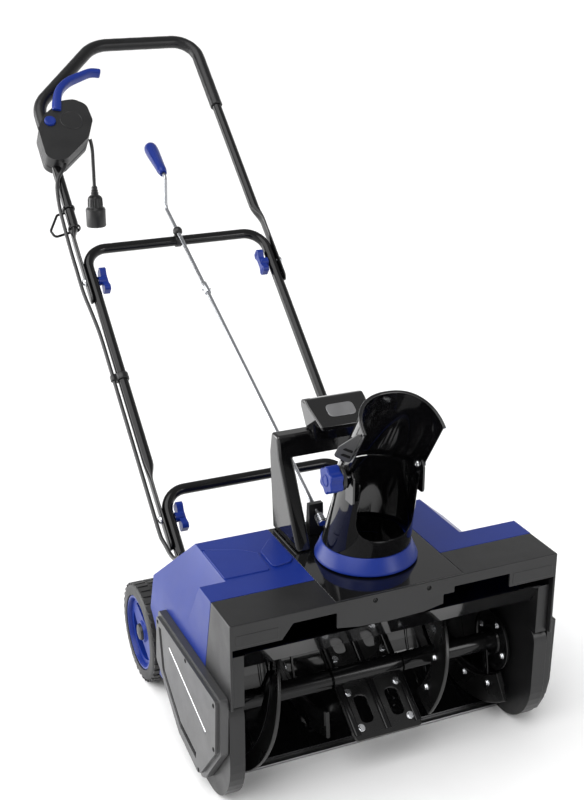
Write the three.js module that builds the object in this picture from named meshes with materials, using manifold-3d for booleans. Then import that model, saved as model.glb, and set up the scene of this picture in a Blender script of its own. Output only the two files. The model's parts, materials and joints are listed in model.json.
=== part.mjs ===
// Electric walk-behind snow thrower, built the way the machine is assembled.
// Millimetres, +Z up. While the parts are made, x = 0 is the machine's centre plane, y = 0 the front
// edge of the housing, +Y runs back towards the operator, and z = 0 is the ground. The finished group
// is then moved so that its origin is the centre of the machine's base.
import * as THREE from "three";
import { mergeVertices } from "three/addons/utils/BufferGeometryUtils.js";
import Module from "manifold-3d";

const wasm = await Module();
wasm.setup();

// ---------------------------------------------------------------- driving dimensions
const GAP = 0.3; // clearance between touching pieces
const HALF = 280; // half of the housing's width
const TOP = 344; // height of the housing's flat top
const SHOULDER = 248; // height of the housing's sides behind the front box
const WALL = 4; // housing shell
const PLATE_IN = 255; // inner face of the intake side plates
const PANEL_HALF = 110; // half width of the centre panel
const PANEL_T = 3.5;
const AUGER = { y: 117, z: 130, r: 117, wall: 121 }; // auger axis, swept radius, chamber radius
const SHAFT_R = 10;
const MOTOR = { y: 280, z: 170, r: 40 };
const PULLEY = { big: 55, small: 12, x0: -294, x1: -284 };
const WHEEL = { y: 446, z: 90, r: 90, width: 50, outer: 287, rim: 68 };
const CHUTE = { y: 123, base: 372.3, top: 505, r0: 73, r1: 61, lean: 0.3, wall: 3 };
const NECK = { inner: 62, outer: 66, top: 352 };
const HOOD = { y: 70, z: 512, half: 68, deep: 63, wall: 2.5, below: 50, above: 135 };
const TUBE_R = 10.25; // handle tubes
const TUBE_BORE = 9;
const STRAP_T = 6; // flattened tube ends
const BEND_R = 44; // centre-line radius of the tube corners
const LEAN = THREE.MathUtils.degToRad(50); // the handle leans back this far from upright
const HANDLE = { y: 594.9, z: 281.5 }; // the lower frame's cross tube, v = 0 in the handle plane
const LEG = { lower: 185, middle: 194, upper: 200 }; // half spacing of each frame's legs
const STRAP_X = { middle: 195.6, upper: 204.6 }; // inner faces of the flattened ends
const BOLT_V = { lower: -54, upper: 480 }; // fold axes along the handle
const CROSS_V = 557; // the middle frame's cross tube
const BAR_V = 1106; // the upper handle's top bar
const GRIP_R = 13.8; // foam sleeve
const BOLT_R = 3;
const ROD_R = 3.9; // chute crank rod
const CABLE_R = 3.8;

// ---------------------------------------------------------------- finishes
function finish(color, roughness, metalness = 0) {
  return new THREE.MeshStandardMaterial({ color, roughness, metalness });
}
const blue = finish(0x23329a, 0.35);
const black = finish(0x1b1b1d, 0.45);
const gloss = finish(0x0d0d0f, 0.12);
const tubeBlack = finish(0x151515, 0.3, 0.4);
const foam = finish(0x161616, 0.85);
const rubber = finish(0x141414, 0.8);
const zinc = finish(0xc9ccd0, 0.3, 0.9);
const steel = finish(0x9a9ca0, 0.4, 0.9);

// ---------------------------------------------------------------- solids
const at = (x, y, z) => new THREE.Vector3(x, y, z);

// A point x across, v up along the handle plane, and n out of it on the front side.
function onHandle(x, v, n = 0) {
  const s = Math.sin(LEAN);
  const c = Math.cos(LEAN);
  return at(x, HANDLE.y + v * s - n * c, HANDLE.z + v * c + n * s);
}

// A closed three.js geometry as a manifold solid with its faces pointing out.
function solid(source) {
  const bare = source.index ? source.toNonIndexed() : source.clone();
  bare.deleteAttribute("normal");
  bare.deleteAttribute("uv");
  const merged = mergeVertices(bare, 1e-4);
  const triVerts = new Uint32Array(merged.index.array);
  const build = () =>
    new wasm.Manifold(
      new wasm.Mesh({
        numProp: 3,
        vertProperties: merged.attributes.position.array,
        triVerts,
      }),
    );
  const made = build();
  if (made.volume() > 0) return made;
  for (let i = 0; i < triVerts.length; i += 3) {
    [triVerts[i], triVerts[i + 1]] = [triVerts[i + 1], triVerts[i]];
  }
  return build();
}

function join(...parts) {
  return parts.reduce((sum, part) => sum.add(part));
}

function cut(base, ...tools) {
  return tools.reduce((left, tool) => left.subtract(tool), base);
}

// An outline of [a, b] points in the plane of the unit vectors u and v through origin, as thick as
// depth along u x v.
function slab(outline, origin, u, v, depth) {
  const shape = new THREE.Shape(outline.map(([a, b]) => new THREE.Vector2(a, b)));
  const made = new THREE.ExtrudeGeometry(shape, { depth, bevelEnabled: false });
  const w = new THREE.Vector3().crossVectors(u, v);
  made.applyMatrix4(new THREE.Matrix4().makeBasis(u, v, w).setPosition(origin));
  return solid(made);
}

const X = at(1, 0, 0);
const Y = at(0, 1, 0);
const Z = at(0, 0, 1);

// A side profile of [y, z] points between x0 and x1.
function across(outline, x0, x1) {
  return slab(outline, at(x0, 0, 0), Y, Z, x1 - x0);
}

// A front profile of [x, z] points between y0 and y1.
function along(outline, y0, y1) {
  return slab(outline, at(0, y1, 0), X, Z, y1 - y0);
}

function block(x0, x1, y0, y1, z0, z1) {
  const made = new THREE.BoxGeometry(x1 - x0, y1 - y0, z1 - z0);
  made.translate((x0 + x1) / 2, (y0 + y1) / 2, (z0 + z1) / 2);
  return solid(made);
}

// The placement of a geometry made along +Y so that it runs from point a towards point b.
function aim(made, a, b) {
  const run = new THREE.Vector3().subVectors(b, a).normalize();
  made.applyQuaternion(new THREE.Quaternion().setFromUnitVectors(Y, run));
  made.translate(a.x, a.y, a.z);
  return made;
}

// A closed profile of [radius, height] points turned round the line from a towards b.
function turned(profile, a, b, sides) {
  const points = [...profile, profile[0]].map(([r, h]) => new THREE.Vector2(r, h));
  return solid(aim(new THREE.LatheGeometry(points, sides), a, b));
}

function rod(a, b, r, sides = 14) {
  const length = a.distanceTo(b);
  const made = new THREE.CylinderGeometry(r, r, length, sides);
  made.translate(0, length / 2, 0);
  return solid(aim(made, a, b));
}

// A ring between two radii from a to b.
function ring(a, b, inner, outer, sides = 24) {
  const h = a.distanceTo(b);
  return turned([[inner, 0], [outer, 0], [outer, h], [inner, h]], a, b, sides);
}

// A curve that passes straight from each given point to the next, sampled at the points themselves.
class Route extends THREE.Curve {
  constructor(points) {
    super();
    this.points = points;
  }
  getPoint(t) {
    const last = this.points.length - 1;
    const i = Math.min(Math.floor(t * last + 1e-6), last - 1);
    return this.points[i].clone().lerp(this.points[i + 1], t * last - i);
  }
  getPointAt(u) {
    return this.getPoint(u);
  }
  getTangentAt(u) {
    const last = this.points.length - 1;
    const i = Math.round(u * last);
    const sum = at(0, 0, 0);
    if (i > 0) sum.add(this.points[i].clone().sub(this.points[i - 1]).normalize());
    if (i < last) sum.add(this.points[i + 1].clone().sub(this.points[i]).normalize());
    return sum.normalize();
  }
}

// Corner points rounded to a centre-line radius, a few steps to each bend.
function rounded(points, radius, steps = 4) {
  const route = [points[0]];
  for (let i = 1; i < points.length - 1; i++) {
    const corner = points[i];
    const back = points[i - 1].clone().sub(corner).normalize();
    const on = points[i + 1].clone().sub(corner).normalize();
    const reach = radius / Math.tan(back.angleTo(on) / 2);
    const start = corner.clone().addScaledVector(back, reach);
    const end = corner.clone().addScaledVector(on, reach);
    route.push(...new THREE.QuadraticBezierCurve3(start, corner, end).getPoints(steps));
  }
  route.push(points[points.length - 1]);
  return route;
}

// A solid round bar along a route.
function bar(points, r, sides = 10) {
  const section = new THREE.Shape(
    Array.from({ length: sides }, (_, i) => {
      const a = (2 * Math.PI * i) / sides;
      return new THREE.Vector2(r * Math.cos(a), r * Math.sin(a));
    }),
  );
  const path = new Route(points);
  return solid(
    new THREE.ExtrudeGeometry(section, {
      steps: points.length - 1,
      bevelEnabled: false,
      extrudePath: path,
    }),
  );
}

// A tube along a route, open at both ends.
function tube(points, outer = TUBE_R, inner = TUBE_BORE) {
  const first = points[0].clone().lerp(points[1], -0.02);
  const last = points[points.length - 1].clone().lerp(points[points.length - 2], -0.02);
  const bore = [first, ...points.slice(1, -1), last];
  return cut(bar(points, outer), bar(bore, inner));
}

function arc(y, z, r, from, to, steps) {
  return Array.from({ length: steps + 1 }, (_, i) => {
    const a = THREE.MathUtils.degToRad(from + ((to - from) * i) / steps);
    return [y + r * Math.cos(a), z + r * Math.sin(a)];
  });
}

const machine = new THREE.Group();

function add(name, made, material) {
  const mesh = made.getMesh();
  const geometry = new THREE.BufferGeometry();
  geometry.setAttribute("position", new THREE.BufferAttribute(mesh.vertProperties, 3));
  geometry.setIndex(new THREE.BufferAttribute(mesh.triVerts, 1));
  const faceted = geometry.toNonIndexed();
  faceted.computeVertexNormals();
  const piece = new THREE.Mesh(faceted, material);
  piece.name = name;
  machine.add(piece);
}

const SIDES = [
  ["left", -1],
  ["right", 1],
];

// ---------------------------------------------------------------- housing
// The outer form of the housing, or the form `inset` inside it.
function housingForm(inset) {
  const i = inset;
  const body = across(
    [[i, 0], [395 - i, 0], [395 - i, 60], [384 - i, 177], [360 - 0.4 * i, SHOULDER - i],
      [190 - 0.6 * i, SHOULDER - i], [128 - 0.3 * i, TOP - i], [i, TOP - i]],
    -HALF + i,
    HALF - i,
  );
  const hump = across(
    [[90, 200], [360 - 0.4 * i, 200], [360 - 0.4 * i, SHOULDER - i], [264 - 0.4 * i, TOP - i],
      [90, TOP - i]],
    -HALF,
    HALF,
  );
  const section = along(
    [[-HALF + i, 200], [HALF - i, 200], [HALF - i, SHOULDER - i], [175 - 0.3 * i, TOP - i],
      [-237 + 0.3 * i, TOP - i], [-HALF + i, SHOULDER - i]],
    80,
    380,
  );
  return join(body, hump.intersect(section));
}

// The housing shell before it is divided into the black front band and the blue body.
function housingShell() {
  const belowEdge = along(
    [[-276, -5], [276, -5], [276, 303], [192, 303], [192, 327], [92, 327], [92, 317], [73, 317],
      [73, 301], [40, 295], [-18, 293], [-70, 295], [-109, 301], [-109, 327], [-180, 327],
      [-198, 303], [-276, 303]],
    -1,
    WALL + 1,
  );
  let shell = cut(
    housingForm(0),
    housingForm(WALL),
    belowEdge,
    block(-HALF - 1, HALF + 1, -1, 311, -1, 199.5),
    block(-HALF - 1, HALF + 1, 300, 400, -1, 60),
    block(-PANEL_HALF, PANEL_HALF, WALL + GAP, 265, TOP - WALL - 1, TOP + 1),
  );
  for (const [, side] of SIDES) {
    const arch = rod(at(side * 228, WHEEL.y, WHEEL.z), at(side * 290, WHEEL.y, WHEEL.z), 103, 32);
    const leg = rod(onHandle(side * LEG.lower, -310), onHandle(side * LEG.lower, -200), 12.5);
    shell = cut(shell, arch, leg);
  }
  return cut(shell, rod(at(-205, 340, 205), at(-205, 420, 205), 6));
}

const bandZone = across([[-1, 360], [78, 360], [78, TOP], [109, 219], [109, 150], [-1, 150]], -300, 300);
const bodyZone = across(
  [[78 + GAP, 360], [450, 360], [450, -1], [109 + GAP, -1], [109 + GAP, 219], [78 + GAP, TOP]],
  -300,
  300,
);
const shell = housingShell();
const screwHoles = [-45, 47].map((x) => rod(at(x, -2, 334), at(x, WALL + 2, 334), 4, 12));
add("front_band", cut(shell.intersect(bandZone), ...screwHoles), black);
add("blue_housing", shell.intersect(bodyZone), blue);

const chuteHole = rod(at(0, CHUTE.y, 300), at(0, CHUTE.y, 360), NECK.outer + 0.5, 40);
add(
  "center_panel",
  cut(
    block(-PANEL_HALF + GAP, PANEL_HALF - GAP, WALL + 2 * GAP, 265 - GAP, TOP - PANEL_T, TOP),
    chuteHole,
  ),
  gloss,
);

// ---------------------------------------------------------------- intake chamber
function chamberWall() {
  const t = 3;
  const { y, z, wall: r } = AUGER;
  const edge = PLATE_IN - GAP;
  const drum = (radius) => rod(at(-edge - 1, y, z), at(edge + 1, y, z), radius, 36);
  const rear = block(-edge, edge, y, y + 2 * r, z - r - t, z + r + t);
  const back = cut(drum(r + t), drum(r)).intersect(rear);
  const roof = across(
    [[8.6, 290], [33, z + r + t], [y + 1, z + r + t - 0.1], [y + 1, z + r + 0.1], [30, z + r], [5, 290]],
    -edge,
    edge,
  );
  const neck = rod(at(0, CHUTE.y, z + r - 4), at(0, CHUTE.y, NECK.top), NECK.outer, 36);
  const bore = rod(at(0, CHUTE.y, 150), at(0, CHUTE.y, 400), NECK.inner, 36);
  return cut(join(back, roof, neck), bore);
}
add("auger_housing", chamberWall(), gloss);

const skid = [
  [10, 199.2], [10, 96], [17, 62], [34, 30], [60, 8], [92, 0], [130, 0], [175, 22], [240, 64],
  [300, 118], [300, 199.2],
];
const upperWall = [[10, 199], [300, 199], [300, 238], [185, 238], [120, 250], [30, 250], [10, 285]];
const shaftHole = rod(at(-300, AUGER.y, AUGER.z), at(300, AUGER.y, AUGER.z), 18.3, 24);
const motorHole = rod(at(-300, MOTOR.y, MOTOR.z), at(-200, MOTOR.y, MOTOR.z), 14, 20);
for (const [name, side] of SIDES) {
  const inner = side * PLATE_IN;
  const outer = side * (HALF - GAP);
  const wallFace = side * (HALF - WALL - GAP);
  const plate = join(
    across(skid, Math.min(inner, outer), Math.max(inner, outer)),
    across(upperWall, Math.min(inner, wallFace), Math.max(inner, wallFace)),
  );
  add(name + "_side_plate", cut(plate, shaftHole, motorHole), black);
  add(
    "bearing_" + name,
    ring(
      at(side * (PLATE_IN + 1), AUGER.y, AUGER.z),
      at(side * (PLATE_IN + 15), AUGER.y, AUGER.z),
      SHAFT_R + GAP,
      18,
    ),
    steel,
  );
}

// The belt cover on the left: a shallow tray with a bevelled rim.
const COVER = [[9, 216], [300, 216], [311, 125], [279, 101], [200, 36], [102, 19], [88, 26], [14, 117]];
function insetOutline(outline, by) {
  const cy = outline.reduce((s, p) => s + p[0], 0) / outline.length;
  const cz = outline.reduce((s, p) => s + p[1], 0) / outline.length;
  return outline.map(([y, z]) => {
    const d = Math.hypot(y - cy, z - cz);
    return [y - ((y - cy) * by) / d, z - ((z - cz) * by) / d];
  });
}
add(
  "belt_cover",
  cut(
    join(
      across(COVER, -HALF - 14, -HALF - GAP),
      across(insetOutline(COVER, 6), -HALF - 20, -HALF - 13),
    ),
    across(insetOutline(COVER, 11), -HALF - 17, -HALF + 5),
  ),
  black,
);
const END = [
  [12, 217], [12, 96], [19, 62], [36, 30], [62, 8], [92, 0], [130, 0], [175, 22], [240, 64],
  [300, 118], [300, 217],
];
add(
  "right_end_cover",
  join(
    across(END, HALF + GAP, HALF + 10),
    across(insetOutline(END, 8), HALF + 9, HALF + 19),
  ),
  black,
);
add("scraper_bar", block(-254.7, 254.7, 104, 134, 1.2, 5.5), steel);
add(
  "base_pan",
  block(-196, 196, 234, 388, 60.3, 63).subtract(rod(at(0, 300, 50), at(0, 300, 70), 4, 12)),
  black,
);

// ---------------------------------------------------------------- drive
add(
  "motor",
  join(
    rod(at(-253, MOTOR.y, MOTOR.z), at(-100, MOTOR.y, MOTOR.z), MOTOR.r, 28),
    rod(at(-101, MOTOR.y, MOTOR.z), at(-88, MOTOR.y, MOTOR.z), 18, 20),
  ),
  steel,
);
add(
  "motor_pulley",
  join(
    rod(at(-295.5, MOTOR.y, MOTOR.z), at(-253.3, MOTOR.y, MOTOR.z), 5, 16),
    rod(at(PULLEY.x0, MOTOR.y, MOTOR.z), at(PULLEY.x1, MOTOR.y, MOTOR.z), PULLEY.small, 24),
  ),
  steel,
);
add(
  "auger_pulley",
  ring(
    at(PULLEY.x0, AUGER.y, AUGER.z),
    at(PULLEY.x1, AUGER.y, AUGER.z),
    SHAFT_R + GAP,
    PULLEY.big,
    40,
  ),
  steel,
);

// The belt's outline: the tangent hull of the two pulleys, each `extra` larger.
function beltOutline(extra) {
  const dy = MOTOR.y - AUGER.y;
  const dz = MOTOR.z - AUGER.z;
  const heading = THREE.MathUtils.radToDeg(Math.atan2(dz, dy));
  const r0 = PULLEY.big + extra;
  const r1 = PULLEY.small + extra;
  const spread = THREE.MathUtils.radToDeg(Math.acos((r0 - r1) / Math.hypot(dy, dz)));
  return [
    ...arc(AUGER.y, AUGER.z, r0, heading + spread, heading + 360 - spread, 18),
    ...arc(MOTOR.y, MOTOR.z, r1, heading - spread, heading + spread, 8),
  ];
}
add(
  "drive_belt",
  cut(
    across(beltOutline(3), PULLEY.x0 + 1, PULLEY.x1 - 1),
    across(beltOutline(0.4), PULLEY.x0, PULLEY.x1),
  ),
  rubber,
);

// ---------------------------------------------------------------- auger
const axleAt = (x) => at(x, AUGER.y, AUGER.z);
add("auger_shaft", rod(axleAt(-295.5), axleAt(272), SHAFT_R, 20), steel);

// Turns a solid made round the auger's axis.
function aroundAuger(made, degrees) {
  return made
    .translate([0, -AUGER.y, -AUGER.z])
    .rotate([degrees, 0, 0])
    .translate([0, AUGER.y, AUGER.z]);
}

function paddle() {
  const sleeve = rod(axleAt(-62), axleAt(62), 17, 20);
  let blade = block(-58, 58, AUGER.y - 3, AUGER.y + 3, AUGER.z - 112, AUGER.z + 112);
  for (const x of [-26, 26]) {
    for (const z of [-60, 60]) {
      blade = cut(
        blade,
        block(x - 16, x + 16, AUGER.y - 5, AUGER.y + 5, AUGER.z + z - 22, AUGER.z + z + 22),
      );
    }
  }
  const made = cut(join(sleeve, blade), rod(axleAt(-70), axleAt(70), SHAFT_R + GAP, 20));
  return aroundAuger(made, 62);
}
add("auger_paddle", paddle(), black);

// A tilted ring on arms, with the round end disc that closes the flight at the side plate.
function flight(side) {
  const from = side * 66;
  const to = side * 246;
  const sleeve = rod(axleAt(from), axleAt(to), 16, 20);
  const disc = rod(axleAt(side * 240), axleAt(side * 246), 52, 24);
  const tilt = new THREE.Vector3(Math.cos(0.42), side * Math.sin(0.42), 0);
  const centre = axleAt(side * 158);
  const flat = ring(
    centre.clone().addScaledVector(tilt, -3),
    centre.clone().addScaledVector(tilt, 3),
    66,
    114,
    28,
  );
  const arms = [25, 205].map((angle) =>
    aroundAuger(block(side * 158 - 11, side * 158 + 11, 112, 122, AUGER.z, AUGER.z + 84), angle),
  );
  const bore = rod(axleAt(side * 60), axleAt(side * 250), SHAFT_R + GAP, 20);
  return cut(join(sleeve, disc, flat, ...arms), bore);
}
for (const [name, side] of SIDES) add("auger_flight_" + name, flight(side), rubber);

// ---------------------------------------------------------------- wheels
for (const [name, side] of SIDES) {
  const hubAt = (x) => at(side * x, WHEEL.y, WHEEL.z);
  const inner = WHEEL.outer - WHEEL.width;
  add("tyre_" + name, ring(hubAt(inner), hubAt(WHEEL.outer), WHEEL.rim, WHEEL.r, 28), rubber);
  const hub = cut(
    join(
      ring(hubAt(inner + 3), hubAt(WHEEL.outer - 3), WHEEL.rim - 8, WHEEL.rim - GAP, 28),
      rod(hubAt(WHEEL.outer - 20), hubAt(WHEEL.outer - 8), WHEEL.rim - 4, 28),
      rod(hubAt(inner + 3), hubAt(WHEEL.outer - 3), 15, 16),
    ),
    rod(hubAt(inner - 10), hubAt(WHEEL.outer + 10), 6 + GAP, 12),
  );
  add("wheel_hub_" + name, hub, blue);
}

// The axle with its two plates, which bolt to the lower frame's legs.
function axleFrame() {
  const plateOutline = [[398, 108], [428, 104], [432, 74], [458, 74], [466, 100], [490, 170], [462, 178]];
  const plates = SIDES.map(([, side]) => {
    const a = side * (LEG.lower + TUBE_R + GAP);
    const b = side * (LEG.lower + TUBE_R + 4 + GAP);
    return across(plateOutline, Math.min(a, b), Math.max(a, b));
  });
  return join(rod(at(-283, WHEEL.y, WHEEL.z), at(283, WHEEL.y, WHEEL.z), 6, 16), ...plates);
}
add("axle_frame", axleFrame(), tubeBlack);

// ---------------------------------------------------------------- chute
const chuteAt = (z) => at(0, CHUTE.y, z);
add(
  "chute_collar",
  turned(
    [[NECK.outer + 0.8, 0], [82, 0], [82, 7], [71, 26], [60, 26], [60, NECK.top - 346 + 1],
      [NECK.outer + 0.8, NECK.top - 346 + 1]],
    chuteAt(346),
    chuteAt(400),
    36,
  ),
  blue,
);

function chuteTube() {
  const h = CHUTE.top - CHUTE.base;
  const { r0, r1, wall } = CHUTE;
  const profile = [[r0 - wall, 0], [r0 - 2.5, 0], [r1, h], [r1 - wall, h]];
  const points = [...profile, profile[0]].map(([r, z]) => new THREE.Vector2(r, z));
  const made = new THREE.LatheGeometry(points, 36).rotateX(Math.PI / 2);
  // the turned shape stands along +Z and leans forward as it rises
  const place = made.attributes.position;
  for (let i = 0; i < place.count; i++) {
    const z = place.getZ(i);
    place.setY(i, place.getY(i) + CHUTE.y - CHUTE.lean * z);
    place.setZ(i, z + CHUTE.base);
  }
  const mouth = along(
    [[-18, 405], [22, 405], [42, 418], [50, 440], [50, 600], [-50, 600], [-50, 440], [-42, 418]],
    -60,
    74,
  );
  const shell = cut(solid(made), mouth);
  const ears = SIDES.map(([, side]) => {
    const a = side * 57.5;
    const b = side * 61;
    const ear = [[52, 470], [100, 470], [84, 514], [78, 522], [58, 524], [50, 514]];
    return across(ear, Math.min(a, b), Math.max(a, b));
  });
  const pinHole = rod(at(-80, HOOD.y, HOOD.z), at(80, HOOD.y, HOOD.z), BOLT_R + 0.5, 12);
  return cut(join(shell, ...ears), pinHole);
}
add("chute_tube", chuteTube(), gloss);

// The deflector: a channel, open to the front and below, that tilts on the bolt through the ears.
function deflectorHood() {
  const up = new THREE.Vector3(0, -0.55, 0.835).normalize();
  const back = new THREE.Vector3(0, up.z, -up.y);
  const channel = (half, deep, edge) => {
    const bend = arc(0, 0, 1, 0, 180, 20).map(([x, b]) => [half * x, deep * b]);
    return [[half, edge], ...bend, [-half, edge]];
  };
  const foot = at(0, HOOD.y, HOOD.z).addScaledVector(up, -HOOD.below);
  const lower = foot.clone().addScaledVector(up, -1);
  const run = HOOD.below + HOOD.above;
  const outer = slab(channel(HOOD.half, HOOD.deep, -6), foot, X, back, run);
  const inner = slab(
    channel(HOOD.half - HOOD.wall, HOOD.deep - HOOD.wall, -20),
    lower,
    X,
    back,
    run + 2,
  );
  const toe = block(-90, 90, -40, 92, 440, 486);
  const pinHole = rod(at(-80, HOOD.y, HOOD.z), at(80, HOOD.y, HOOD.z), BOLT_R + 0.5, 12);
  return cut(outer, inner, toe, pinHole);
}
add("deflector_hood", deflectorHood(), gloss);

// The hood turns on a bolt through the left ear, which the knob clamps, and on a rivet in the right.
const hingeAt = (x) => at(x, HOOD.y, HOOD.z);
add(
  "hood_bolt",
  join(rod(hingeAt(-96), hingeAt(-52), BOLT_R, 12), rod(hingeAt(-57), hingeAt(-53), 6.5, 6)),
  zinc,
);
add(
  "hood_rivet",
  join(
    rod(hingeAt(53), hingeAt(72), BOLT_R, 12),
    rod(hingeAt(52.5), hingeAt(57), 6, 14),
    rod(hingeAt(68.5), hingeAt(72), 6, 14),
  ),
  zinc,
);

// A hand knob with a scalloped rim, bored for its bolt, from a towards b.
function knob(a, b, r, length, lobes) {
  const outline = Array.from({ length: lobes * 6 }, (_, i) => {
    const t = (2 * Math.PI * i) / (lobes * 6);
    const reach = r * (1 + 0.09 * Math.cos(lobes * t));
    return new THREE.Vector2(reach * Math.cos(t), reach * Math.sin(t));
  });
  const made = new THREE.ExtrudeGeometry(new THREE.Shape(outline), {
    depth: length,
    bevelEnabled: false,
  }).rotateX(-Math.PI / 2);
  return solid(aim(made, a, b));
}
add(
  "hood_knob",
  cut(
    join(knob(hingeAt(-76), hingeAt(-98), 17, 22, 6), rod(hingeAt(-70), hingeAt(-77), 19)),
    rod(hingeAt(-60), hingeAt(-97), BOLT_R + GAP, 12),
  ),
  blue,
);

// ---------------------------------------------------------------- carry handle
function carryHandle() {
  const leg = [[165, TOP + GAP], [268, TOP + GAP], [280, 478], [272, 514], [246, 514], [239, 478]];
  const bar = [[239, 478], [280, 478], [272, 514], [246, 514]];
  return join(across(leg, -100, -75), across(leg, 75, 100), across(bar, -99, 99));
}
add("carry_handle", carryHandle(), black);
add(
  "handle_badge_block",
  across(
    [[194, 534], [227, 533.5], [236, 500], [241.5, 497], [245.6, 514 + GAP], [268, 514 + GAP], [268, 556],
      [262, 566], [248, 570], [194, 541]],
    -52,
    52,
  ),
  black,
);

// ---------------------------------------------------------------- handle frames
const throughBolt = (v, side) => rod(onHandle(side * 160, v), onHandle(side * 225, v), BOLT_R + GAP, 12);

function lowerFrame() {
  const route = rounded(
    [
      onHandle(-LEG.lower, -298),
      onHandle(-LEG.lower, 0),
      onHandle(LEG.lower, 0),
      onHandle(LEG.lower, -298),
    ],
    BEND_R,
  );
  return cut(tube(route), throughBolt(BOLT_V.lower, -1), throughBolt(BOLT_V.lower, 1));
}
add("lower_frame", lowerFrame(), tubeBlack);

// A flattened tube end: a strap with round ends in the handle plane, on the outer side of a leg.
function strap(side, inner, v0, v1) {
  const half = 13;
  const round = arc(0, 0, half, 180, 360, 6).map(([x, y]) => [x, y + v0]);
  const outline = [...round, [half, v1], [-half, v1]];
  const vUp = onHandle(0, 1).sub(onHandle(0, 0));
  const nOut = onHandle(0, 0, 1).sub(onHandle(0, 0));
  const origin = onHandle(side > 0 ? inner : -inner - STRAP_T, 0);
  return slab(outline.map(([n, v]) => [v, n]).reverse(), origin, vUp, nOut.negate(), -STRAP_T);
}

function middleFrame() {
  const leg = LEG.middle;
  const route = rounded(
    [onHandle(-leg, 31), onHandle(-leg, CROSS_V), onHandle(leg, CROSS_V), onHandle(leg, 31)],
    BEND_R,
  );
  const straps = SIDES.map(([, side]) => strap(side, STRAP_X.middle, -103, 62));
  const bolts = SIDES.flatMap(([, side]) => [
    throughBolt(BOLT_V.lower, side),
    throughBolt(BOLT_V.upper, side),
  ]);
  return cut(join(tube(route), ...straps), ...bolts);
}
add("middle_frame", middleFrame(), tubeBlack);

const UPPER_CORNERS = [
  [-LEG.upper, 590],
  [-LEG.upper, 942],
  [-37, BAR_V],
  [LEG.upper, BAR_V],
  [LEG.upper, 590],
];
function upperHandle() {
  const route = rounded(UPPER_CORNERS.map(([x, v]) => onHandle(x, v)), BEND_R);
  const straps = SIDES.map(([, side]) => strap(side, STRAP_X.upper, 443, 622));
  const bolts = SIDES.map(([, side]) => throughBolt(BOLT_V.upper, side));
  return cut(join(tube(route), ...straps), ...bolts);
}
add("upper_handle", upperHandle(), tubeBlack);

function gripSleeve() {
  const ends = [
    [-LEG.upper, 908],
    ...UPPER_CORNERS.slice(1, 4),
    [LEG.upper, 908],
  ];
  const route = rounded(ends.map(([x, v]) => onHandle(x, v)), BEND_R);
  return tube(route, GRIP_R, TUBE_R + 0.45);
}
add("grip_sleeve", gripSleeve(), foam);

// Bolts through the overlapping legs, with wing knobs on the inner side.
for (const [place, v, inner, outer] of [
  ["lower", BOLT_V.lower, 158, STRAP_X.middle + STRAP_T + GAP],
  ["upper", BOLT_V.upper, 166, STRAP_X.upper + STRAP_T + GAP],
]) {
  for (const [name, side] of SIDES) {
    const p = (x) => onHandle(side * x, v);
    add(
      place + "_bolt_" + name,
      join(rod(p(inner), p(outer + 1), BOLT_R, 12), rod(p(outer), p(outer + 5), 8, 16)),
      zinc,
    );
    const face = place === "lower" ? LEG.lower - TUBE_R - GAP : LEG.middle - TUBE_R - GAP;
    const hub = rod(p(face), p(face - 16), 9.5, 18);
    const wing = slab(
      [[-27, 9], [-20, 13], [-8, 5], [8, 5], [20, 13], [27, 9], [27, -9], [20, -13], [8, -5], [-8, -5],
        [-20, -13], [-27, -9]].reverse(),
      p(face - 6),
      onHandle(0, 1).sub(onHandle(0, 0)),
      onHandle(0, 0, 1).sub(onHandle(0, 0)).negate(),
      side > 0 ? 13 : -13,
    );
    const bore = rod(p(face + 2), p(face - 30), BOLT_R + GAP, 12);
    add(place + "_knob_" + name, cut(join(hub, wing), bore), blue);
  }
}

// ---------------------------------------------------------------- switch box and bail
const vUp = onHandle(0, 1).sub(onHandle(0, 0));
const nOut = onHandle(0, 0, 1).sub(onHandle(0, 0));
// A plate in the handle plane: [x, v] outline between n0 and n1.
function onPlane(outline, n0, n1) {
  return slab(outline, onHandle(0, 0, n0), X, vUp, n1 - n0);
}
const BOX = [
  [-222, 856], [-222, 775], [-206, 768], [-172, 773], [-122, 826], [-101, 868], [-104, 907],
  [-122, 922], [-143, 927], [-163, 921], [-200, 893],
];
const BOX_N = { back: -18, split: 4, front: 31 };
const legPath = rounded(
  UPPER_CORNERS.slice(0, 3).map(([x, v]) => onHandle(x, v)),
  BEND_R,
);
const legRoom = bar(legPath, TUBE_R + 0.6);
const gripRoom = bar(
  [onHandle(-LEG.upper, 907), ...legPath.slice(1)],
  GRIP_R + 0.8,
);
const boxRoom = onPlane(
  BOX.map(([x, v]) => [-160 + (x + 160) * 0.86, 848 + (v - 848) * 0.86]),
  BOX_N.back + 3,
  BOX_N.front - 3,
);
const switchBox = cut(onPlane(BOX, BOX_N.back, BOX_N.front), boxRoom, legRoom, gripRoom);
add(
  "switch_box_rear",
  switchBox.intersect(onPlane([[-300, 700], [0, 700], [0, 1000], [-300, 1000]], -30, BOX_N.split - GAP)),
  black,
);
const BUTTON = [-193, 872];
const buttonHole = (r) =>
  rod(onHandle(...BUTTON, BOX_N.front - 8), onHandle(...BUTTON, BOX_N.front + 8), r, 20);
const leverSlot = onPlane([[-182, 890], [-110, 890], [-110, 960], [-190, 960]], 14, 38);
add(
  "switch_box_front",
  cut(
    switchBox.intersect(onPlane([[-300, 700], [0, 700], [0, 1000], [-300, 1000]], BOX_N.split, 40)),
    buttonHole(9.6),
    leverSlot,
  ),
  black,
);
add(
  "safety_button",
  rod(onHandle(...BUTTON, BOX_N.front - 4), onHandle(...BUTTON, BOX_N.front + 5), 9, 20),
  blue,
);
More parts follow.
